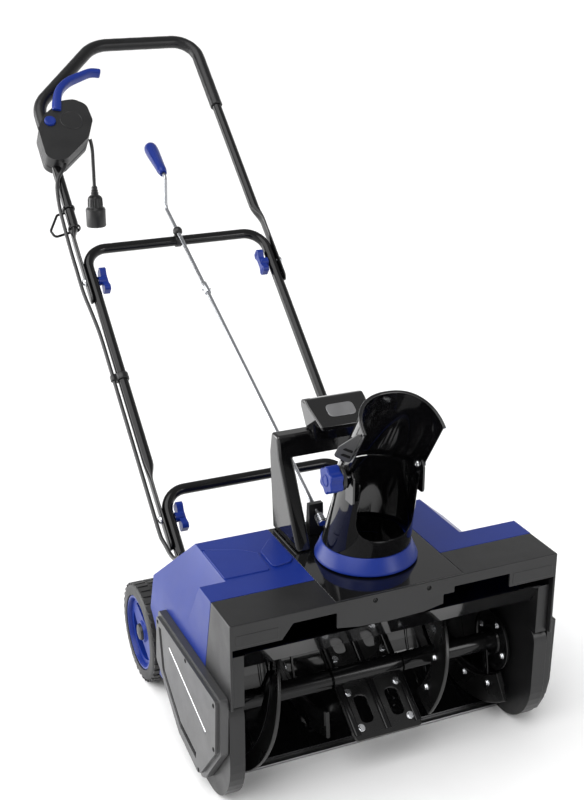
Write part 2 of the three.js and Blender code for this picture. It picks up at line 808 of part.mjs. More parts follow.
add(
  "bail_lever",
  onPlane(
    [[-178, 894], [-160, 900], [-148, 945], [-132, 970], [-98, 990], [-70, 1004], [-52, 992], [-44, 1000],
      [-66, 1018], [-102, 1006], [-142, 984], [-164, 950]],
    15,
    37,
  ),
  blue,
);

// ---------------------------------------------------------------- cords
// The short inlet lead hangs from the switch box and ends in its plug.
const LEAD = [
  [-110, 1239, 823], [-108.5, 1237, 815], [-107.5, 1235.6, 805], [-107, 1235, 794], [-107, 1235, 782],
  [-107, 1235, 770], [-107, 1235, 758], [-107, 1235, 746], [-107, 1235, 734], [-107, 1235, 722],
].map((p) => at(...p));
add("inlet_lead", bar(LEAD, CABLE_R, 10), black);
const leadEnd = LEAD[LEAD.length - 1];
add(
  "inlet_plug",
  turned(
    [[0, 0], [6.5, 0], [9.5, 20], [15, 24], [16, 44], [21.5, 50], [21.5, 88], [17.5, 88], [17.5, 68], [0, 68]],
    at(leadEnd.x, leadEnd.y, leadEnd.z - GAP),
    at(leadEnd.x, leadEnd.y, leadEnd.z - 10),
    28,
  ),
  black,
);

// The supply cable runs down the outer side of the left leg, in three lengths that part at the fold
// bolts, so that each can turn with its own frame.
const CABLE = {
  upper: [[-184, 767, 17], [-188, 757, 19], [-198, 744, 20], [-208, 730, 18], [-215, 708, 14],
    [-219, 670, 8], [-220, 630, 4], [-220.5, 560, 0], [-220.5, 510, 0], [-220.5, 484.7, 0]],
  middle: [[-220.5, 475.3, 0], [-219, 440, 0], [-215, 400, 0], [-211.8, 350, 0], [-211.5, 254, 0],
    [-211.5, 100, 0], [-211.5, 0, 0], [-211.5, -50.8, 0]],
  lower: [[-211.5, -57.2, 0], [-211.5, -80, 0], [-208, -104, 2], [-206, -124, 8], [-205, -138, 18],
    [-205, -148, 34], [-205, -156, 60], [-205, -163, 84]],
};
for (const [name, points] of Object.entries(CABLE)) {
  add("supply_cable_" + name, bar(points.map((p) => onHandle(...p)), CABLE_R, 10), black);
}
add(
  "cord_hook",
  bar(
    rounded(
      [
        onHandle(-214.2, 668, -12),
        onHandle(-240, 668, -12),
        onHandle(-252, 604, -12),
        onHandle(-240, 590, -12),
        onHandle(-214.2, 604, -12),
      ],
      5,
      3,
    ),
    3,
    10,
  ),
  tubeBlack,
);

// ---------------------------------------------------------------- chute crank
const rodFoot = at(-45, 195, 378);
const guideAt = onHandle(6.4, CROSS_V + 12, 17);
const rodRun = guideAt.clone().sub(rodFoot).normalize();
const rodUp = new THREE.Vector3().crossVectors(X, rodRun).normalize();
const onRod = (s) => rodFoot.clone().addScaledVector(rodRun, s);
const guideS = guideAt.distanceTo(rodFoot);
const COUPLING_S = 680;

add(
  "crank_rod_lower",
  join(
    rod(onRod(0), onRod(COUPLING_S), ROD_R, 12),
    rod(onRod(-6), onRod(14), 8, 16),
    rod(onRod(COUPLING_S - 32), onRod(COUPLING_S), 6.2, 14),
  ),
  zinc,
);
const bendA = onRod(guideS + 95);
const bendB = bendA.clone().addScaledVector(rodRun, 20).addScaledVector(rodUp, 61);
const crankEnd = bendB.clone().addScaledVector(rodRun, 128);
add(
  "crank_rod_upper",
  bar(rounded([onRod(COUPLING_S + GAP), bendA, bendB, crankEnd], 12, 4), ROD_R, 12),
  zinc,
);
const gripFoot = bendB.clone().addScaledVector(rodRun, 16);
add(
  "crank_grip",
  turned(
    [[4.4, 0], [8, 0], [10.5, 14], [11.5, 55], [14.5, 100], [13, 112], [8, 118], [0, 119], [0, 116],
      [4.4, 116]],
    gripFoot,
    crankEnd,
    24,
  ),
  blue,
);

// An upright behind the chute carries the rod's lower end.
const bracketS = 27;
add(
  "rod_bracket",
  cut(
    across([[214, TOP + GAP], [232, TOP + GAP], [228, 398], [218, 398]], -56, -31),
    rod(onRod(bracketS - 25), onRod(bracketS + 25), ROD_R + 0.8, 14),
  ),
  black,
);

// The guide ball stands on the middle frame's cross tube.
const crossTube = onHandle(guideAt.x, CROSS_V);
const stemRun = guideAt.clone().sub(crossTube).normalize();
add(
  "rod_guide",
  cut(
    join(
      solid(new THREE.SphereGeometry(9.6, 16, 10).translate(guideAt.x, guideAt.y, guideAt.z)),
      rod(crossTube.clone().addScaledVector(stemRun, TUBE_R + GAP), guideAt, 4, 12),
    ),
    rod(onRod(guideS - 20), onRod(guideS + 20), ROD_R + 0.8, 14),
  ),
  black,
);

// ---------------------------------------------------------------- origin
// The origin is the centre of the base, measured without the hanging lead and its plug.
const HANGING = ["inlet_lead", "inlet_plug"];
const extent = new THREE.Box3();
for (const piece of machine.children) {
  if (!HANGING.includes(piece.name)) extent.expandByObject(piece);
}
const middle = extent.getCenter(at(0, 0, 0));
machine.position.set(-middle.x, -middle.y, -extent.min.z);

export default machine;
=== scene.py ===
import json
import math

import bmesh
import bpy
from mathutils import Matrix, Vector

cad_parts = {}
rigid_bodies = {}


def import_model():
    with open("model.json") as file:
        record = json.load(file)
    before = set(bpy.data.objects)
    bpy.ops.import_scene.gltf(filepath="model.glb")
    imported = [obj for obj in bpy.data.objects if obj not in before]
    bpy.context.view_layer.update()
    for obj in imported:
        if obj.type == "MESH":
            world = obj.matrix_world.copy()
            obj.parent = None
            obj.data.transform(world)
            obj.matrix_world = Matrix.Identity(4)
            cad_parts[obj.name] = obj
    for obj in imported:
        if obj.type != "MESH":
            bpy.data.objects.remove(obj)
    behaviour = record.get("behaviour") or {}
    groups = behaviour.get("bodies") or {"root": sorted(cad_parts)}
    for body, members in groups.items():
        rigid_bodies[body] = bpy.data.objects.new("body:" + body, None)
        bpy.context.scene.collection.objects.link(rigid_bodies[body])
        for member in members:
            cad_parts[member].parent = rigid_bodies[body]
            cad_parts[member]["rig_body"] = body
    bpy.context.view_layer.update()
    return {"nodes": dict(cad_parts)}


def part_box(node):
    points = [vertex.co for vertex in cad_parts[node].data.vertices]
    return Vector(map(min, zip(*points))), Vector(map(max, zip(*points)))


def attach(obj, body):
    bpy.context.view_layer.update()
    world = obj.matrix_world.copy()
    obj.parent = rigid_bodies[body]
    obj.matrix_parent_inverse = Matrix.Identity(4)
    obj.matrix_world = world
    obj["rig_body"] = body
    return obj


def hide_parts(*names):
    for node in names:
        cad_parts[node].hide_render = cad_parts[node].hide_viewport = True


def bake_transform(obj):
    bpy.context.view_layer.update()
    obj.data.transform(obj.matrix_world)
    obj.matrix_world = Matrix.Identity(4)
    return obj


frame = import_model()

# An electric snow thrower. Lengths below are millimetres in the machine's own frame: x = 0 is the centre
# plane, y = 0 the front edge of the housing, +Y runs back to the operator and z = 0 is the ground. at()
# turns them into the frame's metres.
MM = 0.001
band_low, band_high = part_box("front_band")
SHIFT = Vector(((band_low.x + band_high.x) / 2, band_low.y, 0))
X, Y, Z = Vector((1, 0, 0)), Vector((0, 1, 0)), Vector((0, 0, 1))


def at(x, y, z):
    return SHIFT + Vector((x, y, z)) * MM


# The handle's plane leans back; x runs across it, v up it, and n stands off its front.
LEAN = math.radians(50)
UP_HANDLE = Vector((0, math.sin(LEAN), math.cos(LEAN)))
OFF_HANDLE = Vector((0, -math.cos(LEAN), math.sin(LEAN)))


def on_handle(x, v, n=0):
    return at(x, 594.9, 281.5) + (UP_HANDLE * v + OFF_HANDLE * n) * MM


# -------- camera, lights and floor
def placed(name, data):
    """A new object in the scene."""
    obj = bpy.data.objects.new(name, data)
    bpy.context.scene.collection.objects.link(obj)
    return obj


def aimed(lamp, place, target):
    """Hangs a lamp at a place, facing the target."""
    obj = placed(lamp.name, lamp)
    obj.location = place
    obj.rotation_mode = "QUATERNION"
    obj.rotation_quaternion = (Vector(target) - Vector(place)).to_track_quat("-Z", "Y")
    return obj


def camera():
    """The photo's view: from the front, to the left and above."""
    view = bpy.data.cameras.new("camera")
    view.lens = 60.3
    view.sensor_width = 36
    view.clip_end = 100
    eye = placed("camera", view)
    right = Vector((0.915423, -0.402494, 0))
    up = Vector((0.146842, 0.333977, 0.931073))
    back = Vector((-0.374751, -0.852325, 0.364833))
    turn = Matrix((right, up, back)).transposed().to_4x4()
    eye.matrix_world = Matrix.Translation(at(-870.8, -1565.9, 1349.5)) @ turn
    bpy.context.scene.camera = eye


def softbox(name, place, target, width, height, power):
    lamp = bpy.data.lights.new(name, "AREA")
    lamp.shape = "RECTANGLE"
    lamp.size, lamp.size_y = width, height
    lamp.energy = power
    aimed(lamp, place, target).visible_camera = False


def shading(tree, kind, values=None, sources=None):
    """A shader node with its socket values and the outputs that feed it."""
    made = tree.nodes.new("ShaderNode" + kind)
    for socket, value in (values or {}).items():
        made.inputs[socket].default_value = value
    for socket, source in (sources or {}).items():
        tree.links.new(source, made.inputs[socket])
    return made


def studio():
    """A sky that is white round the horizon and dimmer overhead, two soft boxes and a wide overhead light."""
    world = bpy.data.worlds.new("studio")
    world.use_nodes = True
    tree = world.node_tree
    sky = tree.nodes["Background"]
    sky.inputs["Color"].default_value = (1, 1, 1, 1)
    way = shading(tree, "TexCoord")
    split = shading(tree, "SeparateXYZ", sources={"Vector": way.outputs["Generated"]})
    fade = shading(tree, "MapRange", {"From Min": 0.12, "From Max": 0.5, "To Min": 1.0, "To Max": 0.42},
                   {"Value": split.outputs["Z"]})
    fade.interpolation_type = "SMOOTHSTEP"
    tree.links.new(fade.outputs["Result"], sky.inputs["Strength"])
    bpy.context.scene.world = world
    softbox("left_softbox", (-2.9, 1.5, 1.0), (0, 0.1, 0.3), 3.4, 2.0, 105)
    softbox("front_softbox", (1.7, -3.0, 1.7), (0, 0, 0.35), 1.0, 1.4, 20)
    sun = bpy.data.lights.new("overhead", "SUN")
    sun.energy = 2.6
    sun.angle = math.radians(65)
    aimed(sun, (-2.0, -0.8, 3.6), (0, 0, 0))
    bpy.context.scene.view_settings.view_transform = "Standard"


camera()
studio()


# -------- materials
CLOUD = 6.0  # the scale of the noise that colours drift with


def surface(name, low, high, rough, grain, metal=0.0, coat=0.0, coat_rough=0.05, specular=0.5, pores=False,
            brushed=False):
    """A surface whose colour and gloss drift slowly, with a fine grain or open pores in its skin."""
    made = bpy.data.materials.new(name)
    made.use_nodes = True
    tree = made.node_tree
    shader = tree.nodes["Principled BSDF"]
    shader.inputs["Metallic"].default_value = metal
    shader.inputs["Coat Weight"].default_value = coat
    shader.inputs["Coat Roughness"].default_value = coat_rough
    shader.inputs["Specular IOR Level"].default_value = specular
    place = shading(tree, "TexCoord").outputs["Object"]
    drift = shading(tree, "TexNoise", {"Scale": CLOUD, "Detail": 5, "Roughness": 0.6}, {"Vector": place})
    ramp = shading(tree, "ValToRGB", sources={"Fac": drift.outputs["Fac"]})
    for stop, position, colour in zip(ramp.color_ramp.elements, (0.34, 0.66), (low, high)):
        stop.position = position
        stop.color = (*colour, 1)
    smear = shading(tree, "TexNoise", {"Scale": CLOUD * 4.3, "Detail": 7}, {"Vector": place})
    spread = {"From Min": 0.3, "From Max": 0.7, "To Min": rough[0], "To Max": rough[1]}
    gloss = shading(tree, "MapRange", spread, {"Value": smear.outputs["Fac"]})
    if brushed:
        place = shading(tree, "Mapping", {"Scale": (1, 1, 0.06)}, {"Vector": place}).outputs["Vector"]
    skin = shading(tree, "TexVoronoi" if pores else "TexNoise", {"Scale": grain[0]}, {"Vector": place})
    relief = shading(tree, "Bump", {"Strength": grain[1], "Distance": 0.0006},
                     {"Height": skin.outputs["Distance" if pores else "Fac"]})
    tree.links.new(ramp.outputs["Color"], shader.inputs["Base Color"])
    tree.links.new(gloss.outputs["Result"], shader.inputs["Roughness"])
    tree.links.new(relief.outputs["Normal"], shader.inputs["Normal"])
    return made


# Each slot's two colours, its least and most roughness, and the scale and strength of its grain.
LOOKS = {
    "blue_plastic": dict(low=(0.004, 0.018, 0.165), high=(0.0055, 0.023, 0.195), rough=(0.3, 0.36),
                         grain=(1400, 0.04), specular=0.27),
    "black_plastic": dict(low=(0.0055, 0.0055, 0.006), high=(0.0085, 0.0085, 0.009), rough=(0.3, 0.42),
                          grain=(850, 0.1), specular=0.42),
    "gloss_black": dict(low=(0.0022, 0.0022, 0.0025), high=(0.0038, 0.0038, 0.0042), rough=(0.05, 0.11),
                        grain=(420, 0.004), coat=0.3, coat_rough=0.03),
    "tube_paint": dict(low=(0.0035, 0.0035, 0.0038), high=(0.0052, 0.0052, 0.0055), rough=(0.1, 0.16),
                       grain=(520, 0.015), specular=0.28),
    "foam": dict(low=(0.0045, 0.0045, 0.005), high=(0.0075, 0.0075, 0.008), rough=(0.26, 0.36),
                 grain=(1300, 0.12), pores=True, specular=0.3),
    "auger_rubber": dict(low=(0.003,) * 3, high=(0.005, 0.005, 0.0052), rough=(0.22, 0.36),
                         grain=(380, 0.06)),
    "tyre": dict(low=(0.010,) * 3, high=(0.018,) * 3, rough=(0.45, 0.62), grain=(600, 0.2)),
    "cable_jacket": dict(low=(0.005, 0.005, 0.0055), high=(0.008, 0.008, 0.0085), rough=(0.3, 0.42),
                         grain=(900, 0.06)),
    "zinc": dict(low=(0.62, 0.63, 0.65), high=(0.76, 0.77, 0.79), rough=(0.2, 0.26), grain=(1600, 0.01),
                 metal=1.0),
    "steel": dict(low=(0.30, 0.30, 0.31), high=(0.42, 0.42, 0.43), rough=(0.28, 0.42), grain=(700, 0.05),
                  metal=1.0, brushed=True),
}
MATERIALS = {name: surface(name, **look) for name, look in LOOKS.items()}

# The crank's rods are zinc in a duller, drawn finish.
ROD_SKIN = surface("rod_skin", (0.36, 0.37, 0.39), (0.44, 0.45, 0.47), (0.2, 0.26), (1600, 0.01), metal=1.0)
# The belt cover and the hood's side wing use the same black plastic painted paler, as painted light from the
# left that their faces catch, with a finely grained skin.
PAINTED_LIGHT_SKIN = surface("painted_light_skin", (0.034, 0.034, 0.035), (0.046, 0.046, 0.047), (0.3, 0.38), (1100, 0.06))
# Painted shade for deep grooves, screw recesses and the wing's slots: near-black and dull, so hardly any
# light comes back out.
PAINTED_SHADE = surface("recess", (0.003,) * 3, (0.005,) * 3, (0.6, 0.75), (700, 0.06), specular=0.1)


def floor():
    """A pale floor, wide enough to reach past the view."""
    half = 40
    sheet = bpy.data.meshes.new("floor")
    corners = [(-half, -half, 0), (half, -half, 0), (half, half, 0), (-half, half, 0)]
    sheet.from_pydata(corners, [], [(0, 1, 2, 3)])
    sheet.materials.append(surface("pale_floor", (0.93,) * 3, (0.95,) * 3, (0.55, 0.7), (60, 0.0)))
    placed("floor", sheet)


floor()


# -------- shapes
# A shape is a pair: its vertices in metres, and its faces.
def joined(shapes):
    verts, faces = [], []
    for more_verts, more_faces in shapes:
        start = len(verts)
        verts.extend(more_verts)
        faces.extend(tuple(start + i for i in face) for face in more_faces)
    return verts, faces


def loft(rings, caps=True, closed=False):
    """Rings of equally many points joined one to the next."""
    sides = len(rings[0])
    verts = [p for ring in rings for p in ring]
    faces = []
    count = len(rings)
    for i in range(count if closed else count - 1):
        a, b = i * sides, ((i + 1) % count) * sides
        for j in range(sides):
            k = (j + 1) % sides
            faces.append((a + j, a + k, b + k, b + j))
    if caps and not closed:
        faces.append(tuple(reversed(range(sides))))
        faces.append(tuple((count - 1) * sides + j for j in range(sides)))
    return verts, faces


def sweep(points, radii, sides=24, flat=None, square=1.0):
    """A bar along points. A radius is one number or a pair, the first half of it along `flat`."""
    if not isinstance(radii, list):
        radii = [radii] * len(points)
    rings = []
    side = flat
    for i, p in enumerate(points):
        before, after = points[max(i - 1, 0)], points[min(i + 1, len(points) - 1)]
        run = (after - before).normalized()
        if side is None:
            side = run.orthogonal()
        side = (side - run * side.dot(run)).normalized()
        other = run.cross(side)
        ru, rw = radii[i] if isinstance(radii[i], tuple) else (radii[i], radii[i])
        ring = []
        for j in range(sides):
            a = 2 * math.pi * j / sides
            c, s = math.cos(a), math.sin(a)
            c = math.copysign(abs(c) ** square, c)
            s = math.copysign(abs(s) ** square, s)
            ring.append(p + (side * ru * c + other * rw * s) * MM)
        rings.append(ring)
    return loft(rings)


def circle(sides, u, w):
    """Unit vectors round a circle, from u towards w."""
    turns = [2 * math.pi * j / sides for j in range(sides)]
    return [u * math.cos(a) + w * math.sin(a) for a in turns]


def turned(profile, foot, toward, sides=48):
    """A lathe shape: (radius, height) from foot towards toward, ending on the axis or else joined up."""
    up = (toward - foot).normalized()
    u = up.orthogonal().normalized()
    ways = circle(sides, u, up.cross(u))
    rings = [[foot + (up * h + way * max(r, 0.01)) * MM for way in ways] for r, h in profile]
    hollow = profile[0][0] > 0 and profile[-1][0] > 0
    return loft(rings, caps=not hollow, closed=hollow)


def slab(outline, origin, u, w, depth):
    """The outline, in mm along u and w from origin, drawn out by depth along u x w."""
    through = u.cross(w).normalized() * depth * MM
    near = [origin + (u * a + w * b) * MM for a, b in outline]
    far = [p + through for p in near]
    return loft([near, far])


def across(outline, x0, x1):
    """A (y, z) outline from x0 to x1."""
    return slab(outline, at(x0, 0, 0), Y, Z, x1 - x0)


def softened(outline, radius, steps=5):
    """The outline with its corners rounded."""
    made = []
    count = len(outline)
    for i, corner in enumerate(outline):
        p = Vector(corner)
        a, b = Vector(outline[i - 1]) - p, Vector(outline[(i + 1) % count]) - p
        angle = a.angle(b)
        reach = min(radius / math.tan(angle / 2), 0.45 * a.length, 0.45 * b.length)
        start, end = p + a.normalized() * reach, p + b.normalized() * reach
        for k in range(steps + 1):
            t = k / steps
            q = start * (1 - t) ** 2 + p * 2 * t * (1 - t) + end * t * t
            made.append((q.x, q.y))
    return made


def bent(points, radius, steps=10):
    """A polyline in space with its corners rounded, in mm, to one radius or to a list of them."""
    made = [points[0]]
    radii = radius if isinstance(radius, list) else [radius] * (len(points) - 2)
    for before, p, after, radius in zip(points, points[1:], points[2:], radii):
        a, b = (before - p).normalized(), (after - p).normalized()
        half = a.angle(b) / 2
        reach = min(radius * MM / math.tan(half), 0.48 * (before - p).length, 0.48 * (after - p).length)
        bisector = (a + b).normalized()
        centre = p + bisector * (reach / math.cos(half))
        start, end = p + a * reach - centre, p + b * reach - centre
        for k in range(steps + 1):
            made.append(centre + start.normalized().slerp(end.normalized(), k / steps) * start.length)
    made.append(points[-1])
    return made


def rod(a, b, r, sides=24, chamfer=0.6):
    """A round bar with chamfered ends."""
    length = (b - a).length / MM
    return turned(
        [(0, 0), (r - chamfer, 0), (r, chamfer), (r, length - chamfer), (r - chamfer, length), (0, length)],
        a, b, sides,
    )


def hoop(centre, along, inner, outer, half, soft, sides=36):
    """A ring clasping a tube, 2 x half long, with softened outer corners."""
    profile = [(inner, -half), (outer - soft, -half), (outer, 1 - half), (outer, half - 1),
               (outer - soft, half), (inner, half)]
    return turned(profile, centre, centre + along * MM, sides)


def cleaned(work, mesh, merge):
    """Writes the bmesh to the mesh with close points joined and its faces turned out."""
    bmesh.ops.remove_doubles(work, verts=work.verts, dist=merge)
    bmesh.ops.recalc_face_normals(work, faces=work.faces)
    work.to_mesh(mesh)
    work.free()


def solid(name, shapes):
    """An object made of one shape or a list of them."""
    verts, faces = joined(shapes if isinstance(shapes, list) else [shapes])
    mesh = bpy.data.meshes.new(name)
    mesh.from_pydata(verts, [], faces)
    work = bmesh.new()
    work.from_mesh(mesh)
    cleaned(work, mesh, 2e-6)
    return placed(name, mesh)


def finish_edges(obj, bevel, segments=3, by="ANGLE", angle=30):
    if bevel:
        edge = obj.modifiers.new("edges", "BEVEL")
        edge.width = bevel * MM
        edge.segments = segments
        edge.limit_method = by
        edge.angle_limit = math.radians(angle)
        edge.use_clamp_overlap = True
    normals = obj.modifiers.new("normals", "WEIGHTED_NORMAL")
    normals.keep_sharp = True
    normals.weight = 60


def piece(name, shapes, finish, body, replaces=(), bevel=0.0, segments=2):
    """Makes one visible piece from its shapes and sets it on its body."""
    obj = solid(name, shapes)
    dress(obj, finish)
    if bevel:
        finish_edges(obj, bevel, segments)
    if body:
        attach(obj, body)
    if replaces:
        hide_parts(*replaces)
    return obj


def carved(name, shape, cuts, finish, body, node, bevel, segments, smooth, angle, added=()):
    """A piece with shapes added and others cut out before its edges are rounded; it may stand for a node."""
    obj = piece(name, shape, finish, None)
    carve(obj, added, "UNION")
    carve(obj, cuts)
    dress(obj, finish, smooth)
    finish_edges(obj, bevel, segments, angle=angle)
    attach(obj, body)
    if node:
        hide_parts(node)
    return obj


def reskin(obj, skin):
    """Gives a piece a variant of its slot's material."""
    obj.data.materials[0] = skin


def dress(obj, finish, smooth=38):
    obj.data.materials.clear()
    obj.data.materials.append(MATERIALS[finish])
    for face in obj.data.polygons:
        face.use_smooth = True
    obj.data.set_sharp_from_angle(angle=math.radians(smooth))


def settle(obj):
    """Applies the object's modifiers."""
    graph = bpy.context.evaluated_depsgraph_get()
    made = bpy.data.meshes.new_from_object(obj.evaluated_get(graph))
    obj.modifiers.clear()
    obj.data = made


def carve(obj, shapes, operation="DIFFERENCE"):
    """Cuts the shapes, one after another, out of the object, or joins them to it."""
    for shape in shapes:
        tool = solid("cutter", shape)
        step = obj.modifiers.new("carve", "BOOLEAN")
        step.operation = operation
        step.object = tool
        step.solver = "EXACT"
        bpy.context.view_layer.update()
        settle(obj)
        bpy.data.objects.remove(tool)


BEND_ANGLE = math.radians(25)


def width_beside(face, edge):
    """How far a face reaches from one of its edges."""
    a = edge.verts[0].co
    run = (edge.verts[1].co - a).normalized()
    reach = 0
    for v in face.verts:
        d = v.co - a
        reach = max(reach, (d - run * d.dot(run)).length)
    return reach


def fine(node, finish, radius, cuts=(), segments=3):
    """A CAD node's shape with rounded edges: wide faces meet in the full radius and narrow ones in less."""
    source = frame["nodes"][node]
    work = bmesh.new()
    points = [work.verts.new(v.co) for v in source.data.vertices]
    for polygon in source.data.polygons:
        try:
            work.faces.new([points[i] for i in polygon.vertices])
        except ValueError:
            continue
    mesh = bpy.data.meshes.new(node)
    cleaned(work, mesh, 1e-5)
    obj = placed(node + "_shell", mesh)
    if cuts:
        carve(obj, cuts)
    work = bmesh.new()
    work.from_mesh(obj.data)
    bmesh.ops.remove_doubles(work, verts=work.verts, dist=1e-5)
    bmesh.ops.dissolve_limit(work, angle_limit=math.radians(0.8), verts=work.verts, edges=work.edges)
    weight = work.edges.layers.float.new("bevel_weight_edge")
    for edge in work.edges:
        if len(edge.link_faces) == 2 and edge.calc_face_angle(0) > BEND_ANGLE:
            narrow = min(width_beside(face, edge) for face in edge.link_faces)
            edge[weight] = min(1.0, 0.42 * narrow / (radius * MM))
    work.to_mesh(obj.data)
    work.free()
    dress(obj, finish, 40)
    finish_edges(obj, radius, segments, by="WEIGHT")
    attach(obj, source["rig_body"])
    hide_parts(node)


# -------- screws and small metal
def screw(place, out, r=4.2, high=2.4):
    """A domed screw head with a driver recess, standing on place and facing out."""
    top = place + out * MM
    return turned(
        [(0, -1), (r, -1), (r, 0.5), (r * 0.86, high * 0.75), (r * 0.55, high), (r * 0.42, high),
         (r * 0.38, high * 0.45), (0, high * 0.35)],
        place, top, 20,
    )


def hex_bolt(place, out, r=5.5, high=4.5, washer=8.0):
    """A hexagon bolt head on a washer."""
    top = place + out * MM
    ring = turned([(0, -0.5), (washer, -0.5), (washer, 0.7), (washer - 0.4, 1.1), (0, 1.1)], place, top, 28)
    head = turned([(0, 1), (r, 1), (r, high - 0.8), (r * 0.86, high), (0, high)], place, top, 6)
    return joined([ring, head])


# -------- the inlet lead and its plug
CABLE_R = 3.8
LEAD = [
    at(*p)
    for p in [(-110, 1239, 823), (-108.5, 1237, 815), (-107.5, 1235.6, 805), (-107, 1235, 794),
              (-107, 1235, 782), (-107, 1235, 770), (-107, 1235, 758), (-107, 1235, 746),
              (-107, 1235, 734), (-107, 1235, 722)]
]


def smooth_route(points, between=6):
    """Catmull-Rom points through a given route."""
    made = []
    for i in range(len(points) - 1):
        p0, p1, p2 = points[max(i - 1, 0)], points[i], points[i + 1]
        p3 = points[min(i + 2, len(points) - 1)]
        for k in range(between):
            t = k / between
            made.append(
                0.5 * (2 * p1 + (p2 - p0) * t + (2 * p0 - 5 * p1 + 4 * p2 - p3) * t * t
                       + (3 * p1 - p0 - 3 * p2 + p3) * t ** 3)
            )
    made.append(points[-1])
    return made


def inlet_lead():
    plug_foot = LEAD[-1] - Z * 0.3 * MM
    below = plug_foot - Z * 10 * MM
    plug = turned(
        [(0, 0), (5.2, 0), (6.3, 2), (6.6, 5), (6.2, 6), (6.2, 7.5), (7.4, 8.5), (7.4, 10.5), (6.9, 11.5),
         (6.9, 13), (8.4, 14), (8.4, 16), (7.9, 17), (7.9, 18.5), (9.5, 20), (13.2, 22.5), (15, 25.5),
         (16, 44), (17.2, 46), (20.2, 48.2), (21.5, 51), (21.5, 86.5), (20.7, 88), (18.4, 88), (17.5, 87),
         (17.5, 68), (0, 68)],
        plug_foot, below, 56,
    )
    ribs = []
    for out in circle(10, X, Y):
        foot = plug_foot + (out * 15.1 - Z * 26) * MM
        ribs.append(sweep([foot, foot + (out * 0.9 - Z * 17) * MM], 1.3, 10))
    blades = []
    for dx, dy in [(-6, 0), (6, 0), (0, 7)]:
        start = plug_foot + Vector((dx, dy, -66)) * MM
        size = (1.0, 3.1) if dy == 0 else 2.4
        blades.append(sweep([start, start - Z * 17 * MM], size, 12, flat=X, square=0.6))
    body = piece("inlet_plug_shell", [plug, *ribs], "black_plastic", "upper_handle", ["inlet_plug"])
    pins = piece("inlet_plug_pins", blades, "zinc", "upper_handle")
    route = smooth_route(LEAD)
    flex = piece("inlet_lead_flex", sweep(route, CABLE_R, 24), "cable_jacket", "upper_handle", ["inlet_lead"])


inlet_lead()


# -------- supply cable
CABLE = {
    "upper": [(-184, 767, 17), (-188, 757, 19), (-198, 744, 20), (-208, 730, 18), (-215, 708, 14),
              (-219, 670, 8), (-220, 630, 4), (-220.5, 560, 0), (-220.5, 520, 0)],
    "upper_bend": [(-220.5, 520, 0), (-220.5, 500, 0), (-220.5, 480, 0), (-220.2, 460, 0), (-219, 440, 0)],
    "middle": [(-219, 440, 0), (-215, 400, 0), (-211.8, 350, 0), (-211.5, 254, 0), (-211.5, 100, 0),
               (-211.5, 0, 0), (-211.5, -20, 0)],
    "lower_bend": [(-211.5, -20, 0), (-211.5, -38, 0), (-211.5, -54, 0), (-211.5, -70, 0), (-211, -88, 0)],
    "lower": [(-211, -88, 0), (-208, -104, 2), (-206, -124, 8), (-205, -138, 18), (-205, -148, 34),
              (-205, -156, 60), (-205, -163, 84)],
}


def cable_skin(points):
    return sweep(smooth_route([on_handle(*p) for p in points], 8), CABLE_R, 20)


def supply_cable():
    for name, part, body in [("top", "upper", "upper_handle"), ("mid", "middle", "middle_frame"),
                             ("low", "lower", "chassis")]:
        piece("supply_cable_" + name, cable_skin(CABLE[part]), "cable_jacket", body, ["supply_cable_" + part])
    for name, above, below, start, end in [
        ("upper_bend", "upper_handle", "middle_frame", 500, 462),
        ("lower_bend", "middle_frame", "chassis", -36, -74),
    ]:
        bend = piece("supply_cable_" + name, cable_skin(CABLE[name]), "cable_jacket", None)
        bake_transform(bend)
    piece(
        "cable_gland",
        turned([(3.9, -4), (9, -4), (9, 0), (7.2, 2), (6.8, 9), (5.4, 20), (4.4, 26), (3.9, 26)],
               on_handle(-205, -160, 74), on_handle(-205, -156, 60), 32),
        "black_plastic", "chassis",
    )


supply_cable()


def cable_clip():
    """A moulded clip holding the cable beside the middle frame's left leg."""
    centre, cable = on_handle(-194, 254), on_handle(-211.5, 254)
    band = hoop(centre, UP_HANDLE, 10.3, 13.2, 7, 0.6, 40)
    eye = hoop(cable, UP_HANDLE, 3.9, 6.2, 6, 0.6, 32)
    web = slab([(-8, -5), (8, -5), (8, 5), (-8, 5)], centre.lerp(cable, 0.68) - X * 4 * MM,
               UP_HANDLE, OFF_HANDLE, 8)
    piece("cable_clip_middle", [band, eye, web], "black_plastic", "middle_frame")


cable_clip()


# -------- handle
TUBE_R = 10.25
GRIP_R = 13.8
BEND_R = 44
GRIP_BENDS = [96, 80, 52]


def strap_end(side, leg, flat_x, v_end, v_flat, v_round):
    """Places and radii along the flattened end of a leg, from its tip up to where it is a tube."""
    places, radii = [], []
    for i in range(6):
        a = math.radians(12 + 78 * i / 5)
        places.append(on_handle(side * flat_x, v_end - 13 * math.cos(a)))
        radii.append((13 * math.sin(a), 3 if i else 2.4))
    places.append(on_handle(side * flat_x, v_flat))
    radii.append((13, 3))
    for i in range(1, 7):
        t = i / 6
        eased = t * t * (3 - 2 * t)
        x = flat_x + (leg - flat_x) * eased
        places.append(on_handle(side * x, v_flat + (v_round - v_flat) * t))
        radii.append((13 + (TUBE_R - 13) * eased, 3 + (TUBE_R - 3) * eased))
    return places, radii


def flattened_frame(corners, leg, flat_x, v_end, v_flat, v_round):
    """A bent tube whose two ends are flattened outside the legs below."""
    left, radii = strap_end(-1, leg, flat_x, v_end, v_flat, v_round)
    right, _ = strap_end(1, leg, flat_x, v_end, v_flat, v_round)
    middle = bent([left[-1], *[on_handle(x, v) for x, v in corners], right[-1]], BEND_R, 12)
    points = left + middle[1:-1] + right[::-1]
    radii = radii + [(TUBE_R, TUBE_R)] * (len(middle) - 2) + radii[::-1]
    return sweep(points, radii, 32, flat=OFF_HANDLE)


